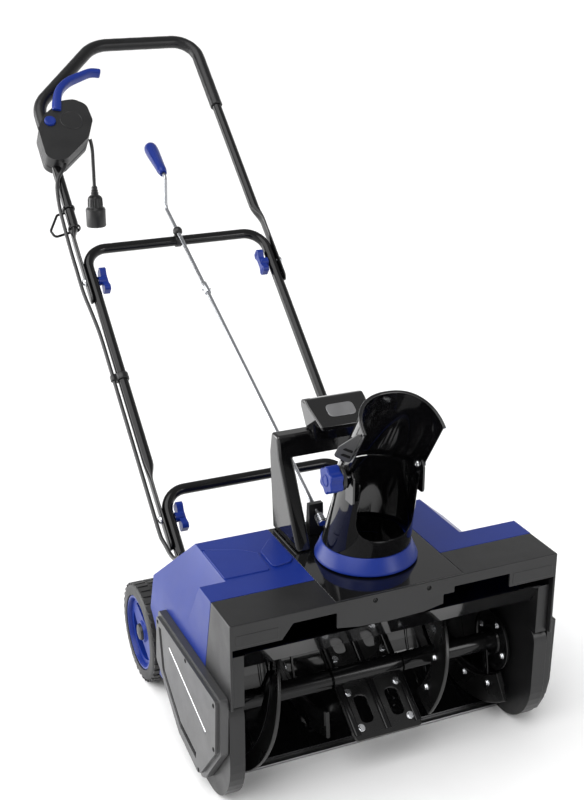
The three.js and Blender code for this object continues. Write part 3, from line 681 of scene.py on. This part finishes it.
def handle_frames():
    route = bent([on_handle(-185, -298), on_handle(-185, 0), on_handle(185, 0), on_handle(185, -298)],
                 BEND_R, 12)
    piece("lower_frame_tube", sweep(route, TUBE_R, 32, flat=OFF_HANDLE), "tube_paint", "chassis",
          ["lower_frame"])
    piece("middle_frame_tube",
          flattened_frame([(-194, 557), (194, 557)], 194, 198.6, -103, 22, 66),
          "tube_paint", "middle_frame", ["middle_frame"])
    piece("upper_handle_tube",
          flattened_frame([(-200, 942), (-37, 1106), (200, 1106)], 200, 207.6, 443, 582, 626),
          "tube_paint", "upper_handle", ["upper_handle"])


handle_frames()


def grip_sleeve():
    ends = [(-200, 880), (-200, 942), (-37, 1106), (200, 1106), (200, 908)]
    route = bent([on_handle(x, v) for x, v in ends], GRIP_BENDS, 14)
    fine_route = [route[0]]
    for a, b in zip(route, route[1:]):
        parts = max(1, round((b - a).length / MM / 9))
        fine_route += [a.lerp(b, k / parts) for k in range(1, parts + 1)]
    first = fine_route[0].lerp(fine_route[1], 0.16)
    last = fine_route[-1].lerp(fine_route[-2], 0.16)
    points = [fine_route[0], first, *fine_route[1:-1], last, fine_route[-1]]
    waves = [GRIP_R + 0.12 * math.sin(i * 1.7) for i in range(len(fine_route) - 2)]
    radii = [12.6, GRIP_R, *waves, GRIP_R, 12.6]
    sleeve = piece("foam_grip", sweep(points, radii, 40, flat=OFF_HANDLE), "foam", "upper_handle",
                   ["grip_sleeve"])


grip_sleeve()


def wing_knob(name, v, face, side, body):
    """A two-winged clamping knob on the inner side of a leg."""
    p = on_handle(side * face, v)
    inward = X * -side
    hub = turned(
        [(4, 0), (9.6, 0), (9.6, 2.5), (9.0, 4), (9.0, 13), (8.2, 15.4), (6.5, 16), (4.4, 16), (4, 14)],
        p, p + inward * MM, 36,
    )
    outline = softened(
        [(-27, 9), (-20, 13), (-8, 6.5), (8, 6.5), (20, 13), (27, 9), (27, -9), (20, -13), (8, -6.5),
         (-8, -6.5), (-20, -13), (-27, -9)], 4.5, 4,
    )
    wings = slab(outline, p + inward * (18.5 if side > 0 else 6) * MM, UP_HANDLE, OFF_HANDLE, 12.5)
    flutes = []
    for along in (-21, 21):
        for off in (-5, 0, 5):
            a = p + (UP_HANDLE * along + OFF_HANDLE * off + inward * 18.6) * MM
            flutes.append(sweep([a - UP_HANDLE * 3.5 * MM, a + UP_HANDLE * 3.5 * MM], 0.9, 10))
    piece(name, [hub, wings, *flutes], "blue_plastic", body, [body], bevel=1.4, segments=3)


def clamp_bolts():
    for place, body, v, face, head in [("lower", "chassis", -54, 174.5, 201.9),
                                       ("upper", "middle_frame", 480, 183.5, 210.9)]:
        for name, side in (("left", -1), ("right", 1)):
            wing_knob(f"{place}_wing_{name}", v, face, side, f"{place}_knob_{name}")
            shank = rod(on_handle(side * (face - 16.4), v), on_handle(side * head, v), 3.4, 24)
            crown = turned([(0, 0), (8.4, 0), (8.4, 1), (7, 3.6), (4.5, 5.2), (0, 5.8)],
                           on_handle(side * head, v), on_handle(side * (head + 1), v), 36)
            piece(f"{place}_pivot_bolt_{name}", [shank, crown], "zinc", body, [f"{place}_bolt_{name}"])


clamp_bolts()


# -------- switch box, lever and button
# The box's outline in the handle's plane.
BOX = [
    (-222, 856), (-222, 782), (-206, 768), (-180, 770), (-122, 822), (-101, 868), (-104, 912),
    (-128, 929), (-156, 927), (-200, 893),
]
BUTTON_R = 12


def switch_box():
    """Two moulded halves on the left leg, with a dished disc on the face."""
    outline = softened(BOX, 24, 8)
    lip = [(x * 0.94 - 9.6, (v - 850) * 0.94 + 850) for x, v in outline]
    rim = slab(lip, on_handle(0, 0, 4), X, UP_HANDLE, -2)
    hole = rod(on_handle(-193, 872, 12), on_handle(-193, 872, 40), BUTTON_R + 0.5, 48)
    for half, low, high, cuts, added in (("rear", -18, 3.7, [], []), ("front", 4, 31, [hole], [rim])):
        shape = slab(outline, on_handle(0, 0, low), X, UP_HANDLE, high - low)
        carved(f"switch_box_{half}_shell", shape, cuts, "black_plastic", "upper_handle",
               "switch_box_" + half, 5.5, 5, 38, 50, added=added)
    centre = on_handle(-146, 872, 31)
    disc = turned([(0, -1), (25, -1), (25, 0.5), (24.2, 1.2), (22, 1.2), (21.2, 0.4), (0, 0.1)],
                  centre, centre + OFF_HANDLE * MM, 64)
    piece("switch_box_boss", disc, "black_plastic", "upper_handle")


switch_box()


def safety_button():
    foot = on_handle(-193, 872, 25)
    r = BUTTON_R
    cap = turned([(0, 0), (r, 0), (r, 9.4), (r - 0.9, 10.6), (r - 2.6, 11), (5, 10.6), (0, 10.4)],
                 foot, foot + OFF_HANDLE * MM, 48)
    piece("safety_button_cap", cap, "blue_plastic", "safety_button", ["safety_button"])


safety_button()


def bail_lever():
    spine = [(-172, 900), (-162, 936), (-150, 960), (-128, 980), (-98, 994), (-72, 1003), (-51, 1000)]
    points = smooth_route([on_handle(x, v, 26) for x, v in spine], 8)
    radii = []
    last = len(points) - 1
    for i in range(len(points)):
        t = i / last
        less = 1.5 if i in (0, last) else 0
        radii.append((12.6 - 1.6 * t - less, 10.2 - 4.4 * t - less))
    piece("bail_lever_arm", sweep(points, radii, 32, flat=OFF_HANDLE, square=0.55), "blue_plastic",
          "bail_lever", ["bail_lever"])


bail_lever()


def cord_hook():
    ends = [(-206, 664), (-224, 660), (-246, 622), (-240, 606), (-206, 614)]
    route = bent([on_handle(x, v, -12) for x, v in ends], 7, 8)
    loops = [hoop(on_handle(-200, v), UP_HANDLE, 10.5, 13.2, 3, 0.8) for v in (664, 614)]
    piece("cord_hook_wire", [sweep(route, 2.6, 20), *loops], "tube_paint", "upper_handle", ["cord_hook"])


cord_hook()


# -------- chute crank
ROD_FOOT = at(-45, 195, 378)
GUIDE = on_handle(6.4, 569, 17)
ROD_RUN = (GUIDE - ROD_FOOT).normalized()
ROD_UP = X.cross(ROD_RUN).normalized()
COUPLING = 680


def on_rod(s):
    return ROD_FOOT + ROD_RUN * s * MM


def crank():
    lower = rod(on_rod(0), on_rod(COUPLING), 3.9, 28)
    sleeve = turned([(3.9, 0), (5.6, 0), (6.2, 0.8), (6.2, 31.4), (5.6, 32), (3.9, 32)],
                    on_rod(COUPLING - 32), on_rod(COUPLING), 36)
    half_pin = X * 9 * MM
    pin = rod(on_rod(COUPLING - 20) - half_pin, on_rod(COUPLING - 20) + half_pin, 1.6, 14, 0.4)
    thread = [(3.9, 0), (6.2, 0), (7.8, 1), (7.8, 1.8), (6.2, 2.8), (3.9, 2.8)]
    worm = [turned(thread, on_rod(3.6 * i - 5), on_rod(3.6 * i), 36) for i in range(5)]
    reskin(piece("crank_rod_bar", [lower, sleeve, pin], "zinc", "crank_lower", ["crank_rod_lower"]), ROD_SKIN)
    piece("crank_worm", [rod(on_rod(-6), on_rod(14), 6.4, 32), *worm], "zinc", "crank_lower")
    reach = (GUIDE - ROD_FOOT).length / MM
    bend_a = on_rod(reach + 95)
    bend_b = bend_a + (ROD_RUN * 20 + ROD_UP * 61) * MM
    end = bend_b + ROD_RUN * 128 * MM
    route = bent([on_rod(COUPLING + 0.3), bend_a, bend_b, end], 14, 10)
    upper = sweep(route, 3.9, 28)
    foot = bend_b + ROD_RUN * 16 * MM
    reskin(piece("crank_rod_bend", upper, "zinc", "crank_upper", ["crank_rod_upper"]), ROD_SKIN)
    grip = turned(
        [(4.4, 0), (7, 0), (8, 1), (8.2, 5), (9.6, 8), (10.5, 14), (10.6, 30), (11.5, 55), (13.2, 80),
         (14.5, 99), (14.4, 105), (13, 112), (10.5, 116.5), (7, 118.6), (0, 119), (0, 116), (4.4, 116)],
        foot, end, 56,
    )
    flutes = []
    crest = ((22, 9.9), (50, 10.7), (80, 12.6), (98, 13.8))
    for out in circle(6, ROD_UP, ROD_RUN.cross(ROD_UP)):
        line = [foot + (ROD_RUN * s + out * r) * MM for s, r in crest]
        flutes.append(sweep(line, [(0.8, 0.8), (1.3, 1.8), (1.3, 1.9), (0.8, 0.8)], 12))
    piece("crank_grip_handle", [grip, *flutes], "blue_plastic", "crank_grip", ["crank_grip"])


crank()


def rod_supports():
    fine("rod_bracket", "black_plastic", 2)
    cross = on_handle(6.4, 557)
    stem = (GUIDE - cross).normalized()
    ball = turned(
        [(4.8, -9.2), (7, -7.6), (9.3, -4), (9.9, 0), (9.3, 4), (7, 7.6), (4.8, 9.2)],
        GUIDE, GUIDE + ROD_RUN * MM, 36,
    )
    foot = rod(cross + stem * 9.5 * MM, GUIDE - stem * 5 * MM, 4, 24)
    clip = hoop(cross, X, 10.4, 12.6, 6, 0.4)
    piece("rod_guide_ball", [ball, foot, clip], "black_plastic", "middle_frame", ["rod_guide"])


rod_supports()


# -------- housing
TOP = 344
AXLE = (117, 130)


def on_axle(x):
    return at(x, *AXLE)


def radial(degrees):
    """The way out from the x axis at an angle; 0 faces back and 90 up."""
    a = math.radians(degrees)
    return Vector((0, math.cos(a), math.sin(a)))


def around(x, r, degrees):
    """A point at a radius and angle round the auger's axle."""
    return on_axle(x) + radial(degrees) * r * MM


def housing():
    fine("front_band", "black_plastic", 8, segments=6)
    fine("blue_housing", "blue_plastic", 8, segments=5)
    fine("center_panel", "gloss_black", 1.2)
    piece("band_screws", [screw(at(x, 2.4, 334), -Y, 3.6, 1.8) for x in (-45, 47)], "tube_paint", "chassis")


housing()


def housing_details():
    """The faceted pad on the left of the flat top, and the long pill-shaped pad beside the panel."""
    facet = softened([(-236, 236), (-182, 214), (-157, 192), (-160, 134), (-236, 134)], 6)
    pad = softened([(-153, 192), (-124, 226), (-114, 222), (-114, 152), (-122, 142), (-154, 136)], 9)
    shapes = [slab(facet, at(0, 0, TOP - 1), X, Y, 2.6), slab(pad, at(0, 0, TOP - 1), X, Y, 4.6)]
    piece("housing_pads", shapes, "blue_plastic", "chassis", bevel=2.2, segments=4)
    flaps = [slab(softened([(x0, 307), (x1, 307), (x1, 326), (x0, 326)], 3), at(0, 0.6, 0), X, Z, 1.2)
             for x0, x1 in ((-272, -203), (198, 272))]
    piece("band_flaps", flaps, "black_plastic", "chassis", bevel=0.5)
    ridge = sweep([at(-236, 238, TOP + 0.4), at(-180, 213, TOP + 0.6), at(-157, 190, TOP + 0.6)], 1.5, 12)
    piece("housing_ridge", ridge, "blue_plastic", "chassis")


housing_details()


SKID = [
    (10, 199.2),
    *[(98 - 88 * math.cos(math.radians(a)), 95 - 95 * math.sin(math.radians(a))) for a in range(0, 91, 9)],
    (130, 0), (178, 22), (240, 64), (300, 118), (300, 199.2),
]


def side_plate(name, side):
    """A wall beside the auger that ends below in a broad rounded skid."""
    inner, outer = side * 255, side * 279.7
    skid = across(softened(SKID, 26, 8), min(inner, outer), max(inner, outer))
    wall_face = side * 275.7
    wall = [(10, 198), (300, 198), (300, 238), (185, 238), (120, 250), (30, 250), (10, 285)]
    upper = across(wall, min(inner, wall_face), max(inner, wall_face))
    hole = rod(on_axle(-300), on_axle(300), 18.3, 32)
    carved(name + "_side_plate_shell", skid, [hole], "black_plastic", "chassis", name + "_side_plate",
           4, 4, 36, 40, added=[upper])


def intake():
    fine("auger_housing", "gloss_black", 2)
    for side in ("left", "right"):
        side_plate(side, -1 if side == "left" else 1)
        fine("bearing_" + side, "steel", 1.2)
    fine("scraper_bar", "steel", 0.8)
    fine("base_pan", "black_plastic", 1)
    fine("right_end_cover", "black_plastic", 3.5, segments=4)
    for node, finish, radius in (("motor", "steel", 2), ("motor_pulley", "steel", 1),
                                 ("drive_belt", "auger_rubber", 0.6), ("axle_frame", "tube_paint", 1)):
        fine(node, finish, radius)
    # stiffening ribs across the dark back wall of the chamber
    angles = [-70 + 150 * k / 14 for k in range(15)]
    ribs = [sweep([around(x, 120.2, a) for a in angles], (2.4, 1.6), 10, flat=X)
            for x in (-200, -140, -80, 80, 140, 200)]
    piece("chamber_ribs", ribs, "gloss_black", "chassis")


intake()


COVER = [(9, 216), (300, 216), (311, 125), (279, 101), (200, 36), (102, 19), (88, 26), (14, 117)]


def inset(outline, by):
    cy = sum(p[0] for p in outline) / len(outline)
    cz = sum(p[1] for p in outline) / len(outline)
    return [
        (y - (y - cy) * by / math.hypot(y - cy, z - cz), z - (z - cz) * by / math.hypot(y - cy, z - cz))
        for y, z in outline
    ]


def belt_cover():
    """The cover on the left: a broad flat face painted paler as painted light, with a bent groove holding a
    strip of painted shade, and one long bright bar.
    """
    outline = softened(COVER, 9)
    base = slab([(z, y) for y, z in outline], at(-280.4, 0, 0), Z, Y, 12.5)
    face = slab([(z, y) for y, z in softened(inset(COVER, 9), 8)], at(-292.5, 0, 0), Z, Y, 6.3)
    bend = bent([at(-299, 276, 196), at(-299, 264, 122), at(-299, 186, 66), at(-299, 112, 54)], 12)
    cuts = [
        sweep(bend, (5.0, 6.4), 20, flat=X, square=0.7),
        sweep([at(-299, 232, 184), at(-299, 62, 128)], (1.8, 2.6), 16, flat=X),
    ]
    # Painted shade: a dull black strip laid in the groove, standing in for the shade at its bottom.
    shadow = sweep([p + X * 3.4 * MM for p in bend], (2.0, 6.6), 16, flat=X)
    cover = carved("belt_cover_shell", base, cuts, "black_plastic", "chassis", "belt_cover",
                   1.8, 3, 30, 32, added=[face])
    # The cover is painted paler: painted light from the left.
    reskin(cover, PAINTED_LIGHT_SKIN)
    # The strip in the groove is painted shade.
    reskin(piece("belt_cover_groove_shade", shadow, "black_plastic", "chassis"), PAINTED_SHADE)
    bar = sweep([at(-298.2, 230, 183.3), at(-298.2, 64, 128.7)], (1.0, 1.7), 16, flat=X)
    piece("belt_cover_bar", bar, "zinc", "chassis")
    spots = [(26, 200), (30, 120), (102, 34), (286, 202), (150, 206)]
    heads = [screw(at(-298.6, y, z), -X, 3.8, 0.7) for y, z in spots]
    # The screw heads take the painted shade material, for the shade in their recesses.
    reskin(piece("belt_cover_screws", heads, "black_plastic", "chassis"), PAINTED_SHADE)


belt_cover()


# -------- auger
PADDLE_ANGLE = 214


def auger_paddle():
    """A rubber plate with four slots, clamped between steel bars on the middle of the axle."""
    out = radial(PADDLE_ANGLE)
    flat = X.cross(out)
    outline = softened(
        [(-112, -58), (-96, -62), (96, -62), (112, -58), (112, 58), (96, 62), (-96, 62), (-112, 58)], 6,
    )
    plate = slab(outline, on_axle(0) - flat * 2.6 * MM, out, X, -5.2)
    slots = []
    for x in (-28, 28):
        for r in (-62, 62):
            slot = softened([(r - 24, x - 11), (r + 24, x - 11), (r + 24, x + 11), (r - 24, x + 11)], 10)
            slots.append(slab(slot, on_axle(0) + flat * 8 * MM, out, X, 16))
    carved("auger_paddle_plate", plate, slots, "auger_rubber", "auger", None, 0.9, 2, 30, 30)
    sleeve = turned([(10.6, 0), (17, 0), (17, 124), (10.6, 124)], on_axle(-62), on_axle(62), 48)
    bars, bolts = [], []
    for s in (-1, 1):
        for x in (-54, 0, 54):
            start = on_axle(x) - out * 104 * MM + flat * s * 4.4 * MM
            bars.append(sweep([start, start + out * 208 * MM], (5.0, 1.9), 12, flat=X, square=0.5))
        for r in (-92, -30, 30, 92):
            for x in (-44, 44):
                place = on_axle(x) + out * r * MM + flat * s * 2.6 * MM
                bolts.append(hex_bolt(place, flat * s, 4.6, 3.8, 6.5))
    piece("auger_paddle_hub", [sleeve, *bars], "tube_paint", "auger", ["auger_paddle"])
    piece("auger_paddle_bolts", bolts, "zinc", "auger")


auger_paddle()


def auger_flight(name, side):
    """A rubber strip wound from the end disc to the paddle, clamped to a steel strip on arms."""
    steps, start, length, turn = 72, 238, 168, 330

    def wound(k, r, dx):
        """Step k of the winding, at a radius and moved dx along the axle."""
        t = k / steps
        return around(side * (start - length * t) + dx, r, PADDLE_ANGLE + 20 + turn * side * t)

    half, soft = 3.4, 1.5
    rubber, steel = [], []
    for k in range(steps + 1):
        t = k / steps
        inner = 58 + 10 * math.sin(math.pi * t)
        outer = 114 - 8 * (1 - min(1, 6 * t)) - 8 * (1 - min(1, 6 * (1 - t)))
        edge = [(inner, -half), (outer - soft, -half), (outer, soft - half), (outer, half - soft),
                (outer - soft, half), (inner, half)]
        rubber.append([wound(k, r, dx) for r, dx in edge])
        steel.append([wound(k, r, side * 5 + dx) for r, dx in ((56, -1.4), (82, -1.4), (82, 1.4), (56, 1.4))])
    arms = []
    for k in (6, 24, 42, 60):
        foot, tip = wound(k, 12, side * 5), wound(k, 78, side * 5)
        arms.append(sweep([foot, foot.lerp(tip, 0.5), tip], [(8, 2.2), (9, 2.2), (11, 2.2)], 16,
                          flat=X.cross(tip - foot), square=0.5))
    bolts = [hex_bolt(wound(k, 72, -side * half), -X * side, 4.6, 3.8, 6.8) for k in range(4, steps, 8)]
    bolts += [hex_bolt(around(side * 242.6, 37, a), -X * side, 4.6, 3.8, 6.6) for a in (20, 110, 200, 290)]
    sleeve = turned([(10.6, 0), (16, 0), (16, 180), (10.6, 180)], on_axle(side * 66), on_axle(side * 246), 40)
    disc = turned([(15, 0), (52, 0), (53, 1), (53, 4.6), (52, 5.6), (46, 5.6), (44.5, 3.2), (26, 3.2),
                   (24, 6), (15, 6)], on_axle(side * 246), on_axle(side * 240), 64)
    piece(f"auger_strip_{name}", loft(rubber), "auger_rubber", "auger", [f"auger_flight_{name}"], bevel=0.5)
    piece(f"auger_backing_{name}", [loft(steel), *arms, sleeve], "tube_paint", "auger", bevel=0.4)
    piece(f"auger_end_disc_{name}", disc, "tube_paint", "auger")
    piece(f"auger_bolts_{name}", bolts, "zinc", "auger")


def auger():
    auger_flight("left", -1)
    auger_flight("right", 1)
    piece("auger_axle", rod(on_axle(-295.5), on_axle(272), 10, 40), "tube_paint", "auger", ["auger_shaft"])
    fine("auger_pulley", "steel", 1.2)


auger()


# -------- wheels
WHEEL = (446, 90)


def arc(r, degrees, y=0, z=0):
    """Outline points at a radius from (y, z)."""
    return [(y + r * math.cos(math.radians(a)), z + r * math.sin(math.radians(a))) for a in degrees]


def wheel(name, side):
    def hub_at(x):
        return at(side * x, *WHEEL)

    body = "wheel_" + name
    tyre = turned(
        [(68, 0), (80, 0), (84.5, 1), (86.8, 3.5), (87.6, 7), (87.6, 43), (86.8, 46.5), (84.5, 49), (80, 50),
         (68, 50), (67.6, 46), (67.6, 4)],
        hub_at(237), hub_at(287), 96,
    )
    lug = softened([(-10.5, -5.2), (7.5, -5.2), (10.5, -2), (10.5, 5.2), (-7.5, 5.2), (-10.5, 2)], 1.2, 2)
    lugs = []
    for i in range(36):
        for x, shift in ((249.5, 0), (274.5, 5)):
            out = radial(10 * i + shift)
            lugs.append(slab(lug, hub_at(x) + out * 87 * MM, X, X.cross(out), -2.6))
    piece("tyre_tread_" + name, [tyre, *lugs], "tyre", body, ["tyre_" + name])
    rim = turned([(58, 0), (67.6, 0), (67.6, 44), (66, 45.5), (63, 45.5), (61.5, 43), (60.5, 38), (58, 38)],
                 hub_at(240), hub_at(285.5), 96)
    disc = turned([(6.4, 0), (64, 0), (64, 9), (58, 10.2), (20, 8.6), (18, 12), (15, 13), (6.4, 13)],
                  hub_at(268), hub_at(280), 96)
    cuts = []
    for turn in (35, 215):
        window = arc(52, range(turn + 18, turn + 163, 8))
        window += arc(9, range(turn + 160, turn + 19, -14), *arc(20, [turn + 90])[0])
        cuts.append(slab(window, at(side * 272 - 30, *WHEEL), Y, Z, 60))
    carved("wheel_disc_" + name, disc, cuts, "blue_plastic", body, "wheel_hub_" + name, 1.2, 3, 35, 40)
    piece("wheel_rim_" + name, rim, "blue_plastic", body)
    cap = turned([(0, 0), (15.4, 0), (15.4, 2), (13.6, 5), (8, 6.4), (0, 6.8)], hub_at(280), hub_at(285), 48)
    axle_hub = turned([(6.4, 0), (15, 0), (15, 30), (6.4, 30)], hub_at(240), hub_at(270), 40)
    piece("wheel_cap_" + name, [cap, axle_hub], "black_plastic", body)


wheel("left", -1)
wheel("right", 1)


# -------- chute
CHUTE_BASE = at(0, 123, 372.3)


def leaning(profile):
    """A lathe shape standing on the chute's base and leaning forward 0.3 as it rises."""
    ways = circle(96, X, Y)
    rings = [[CHUTE_BASE + (Vector((0, -0.3 * h, h)) + way * r) * MM for way in ways] for r, h in profile]
    return loft(rings, caps=False, closed=True)


def chute():
    h = 505 - 372.3
    outer = [(70.5 - 9.5 * k / 6, h * k / 6) for k in range(7)]
    inner = [(r - 3, z) for r, z in reversed(outer)]
    mouth = slab(softened([(-50, 404), (50, 404), (50, 560), (-50, 560)], 34, 8), at(0, 90, 0), X, Z, 180)
    carved("chute_tube_shell", leaning(outer + inner), [mouth], "gloss_black", "chute", "chute_tube",
           0.9, 2, 32, 40)
    ear = softened([(50, 470), (101, 470), (86, 514), (79, 522), (58, 524), (50, 514)], 8, 4)
    ears = [across(ear, x, x + 3.5) for x in (-61, 57.5)]
    piece("chute_ears", ears, "gloss_black", "chute", bevel=0.9)
    collar = turned(
        [(66.8, 0), (81.2, 0), (82.2, 1), (82.2, 3.6), (81.2, 5.2), (72.6, 25), (71.4, 26.2), (69, 26.4),
         (60, 26.2), (60, 7), (66.8, 7)],
        at(0, 123, 346), at(0, 123, 400), 96,
    )
    liner = turned([(59.2, 0), (59.8, 0), (59.8, 27.5), (59.2, 27.5)], at(0, 123, 353.5), at(0, 123, 400), 96)
    piece("chute_collar_liner", liner, "gloss_black", "chute")
    piece("chute_collar_ring", collar, "blue_plastic", "chute", ["chute_collar"])


chute()


HOOD_UP = Vector((0, -0.55, 0.835)).normalized()
HOOD_BACK = Vector((0, HOOD_UP.z, -HOOD_UP.y))
HINGE = (70, 512)


def hinge_at(x):
    return at(x, *HINGE)


def hood_wall(s, wide, deep):
    """A place on the wall, its foot and its lip; s runs from the right edge (0) to the left edge (1)."""
    a = math.pi * s
    back = math.sin(a) ** 0.9
    x = wide * math.copysign(abs(math.cos(a)) ** 0.86, math.cos(a))
    place = hinge_at(x) + HOOD_BACK * (deep * back - 5 * (1 - back)) * MM
    return place, -50 + 24 * (1 - back), 100 + 10 * back + 18 * s * s


def hood():
    """The deflector: a curved channel, open to the front, whose lip is cut on a slant."""
    rows, columns = 40, 48

    def skin(t, inward):
        """A row of points at t of the wall's height, on its outside or inward of it."""
        row = []
        for j in range(columns + 1):
            place, foot, lip = hood_wall(j / columns, 68 - inward, 63 - inward)
            row.append(place + HOOD_UP * min(foot + (lip - foot) * t, 134.8) * MM)
        return row

    verts, faces = loft([skin(i / rows, 0) + skin(i / rows, 2.5)[::-1] for i in range(rows + 1)], caps=False)
    around_wall = 2 * (columns + 1)
    for a in (0, rows * around_wall):
        b = a + around_wall - 1
        faces += [(a + j, a + j + 1, b - j - 1, b - j) for j in range(columns)]
    toe = slab([(-90, 0), (90, 0), (90, 46), (-90, 46)], at(0, 92, 440), X, Z, 132)
    carved("deflector_hood_shell", (verts, faces), [toe], "gloss_black", "hood", "deflector_hood",
           0.8, 2, 35, 45)
    bead = []
    for k in range(41):
        place, _, lip = hood_wall(k / 40, 69, 63.8)
        bead.append(place + HOOD_UP * (lip - 2.2) * MM)
    wing = softened([(-66, 34), (-66, 104), (-72, 104), (-90, 62), (-92, 38)], 6, 5)
    spread = (X * 0.8 - HOOD_BACK * 0.6).normalized()
    edge = hinge_at(-13) - HOOD_BACK * 36 * MM
    guard = slab(wing, edge, spread, HOOD_UP, 2.6)
    # The side wing is painted paler: painted light from the left, falling on its outer face.
    reskin(piece("hood_side_wing", guard, "gloss_black", "hood", bevel=0.7), PAINTED_LIGHT_SKIN)
    # Two dark slabs on the wing stand in for its slots: painted shade.
    bars = []
    for low in (46, 60):
        bar = softened([(-84, low), (-68, low), (-68, low + 6), (-80, low + 6)], 2, 4)
        bars.append(slab(bar, edge - spread.cross(HOOD_UP) * 0.3 * MM, spread, HOOD_UP, 3.2))
    reskin(piece("hood_wing_slot_shade", bars, "gloss_black", "hood"), PAINTED_SHADE)
    piece("hood_lip_bead", sweep(bead, 2.1, 14), "gloss_black", "hood")


hood()


def hood_hardware():
    """The lobed knob and its bolt on the left of the hinge, and the rivet on the right."""
    outline = []
    for i in range(96):
        a = 2 * math.pi * i / 96
        r = 20.4 * (1 + 0.105 * math.cos(6 * a))
        outline.append((r * math.cos(a), r * math.sin(a)))
    lobes = slab(outline, hinge_at(-76.3), Z, Y, 21.2)
    face = turned([(0, 0), (9.4, 0), (9.4, 0.9), (8, 1.2), (7.2, 0.4), (0, 0.2)],
                  hinge_at(-97.5), hinge_at(-99), 40)
    washer = turned([(5, 0), (19, 0), (19, 3.6), (18, 5.4), (15, 6), (5, 6)],
                    hinge_at(-70.2), hinge_at(-98), 48)
    piece("hood_knob_grip", lobes, "blue_plastic", "hood_knob", ["hood_knob"], bevel=2.2, segments=4)
    piece("hood_knob_face", face, "blue_plastic", "hood_knob")
    piece("hood_knob_washer", washer, "black_plastic", "hood_knob")
    piece("hood_bolt_steel", rod(hinge_at(-95), hinge_at(-52), 3.4, 24), "zinc", "chute", ["hood_bolt"])
    rivet = [rod(hinge_at(52.5), hinge_at(72), 3.4, 24)]
    for x, end in ((68.7, 75), (56.9, 50)):
        rivet.append(turned([(0, 0), (6, 0), (5.4, 2), (3, 3.3), (0, 3.5)], hinge_at(x), hinge_at(end), 32))
    piece("hood_rivet_steel", rivet, "zinc", "chute", ["hood_rivet"])


hood_hardware()


# -------- carry handle
def carry_handle():
    fine("carry_handle", "gloss_black", 5, segments=5)
    sides = []
    for s in (-1, 1):
        flank = [(70, 480), (70, 580), (52, 580), (52, 562), (35, 490), (35, 480)]
        sides.append(slab([(s * x, z) for x, z in flank], at(0, 300, 0), X, Z, 140))
    fine("handle_badge_block", "gloss_black", 7, cuts=sides, segments=6)
    slope = Vector((0, 54, 29)).normalized()
    outline = softened([(-24, -13), (24, -13), (24, 13), (-24, 13)], 9, 8)
    plate = slab(outline, at(0, 221, 555.6), X, slope, 0.9)
    piece("badge_plate", plate, "steel", "chassis", bevel=0.3)


carry_handle()
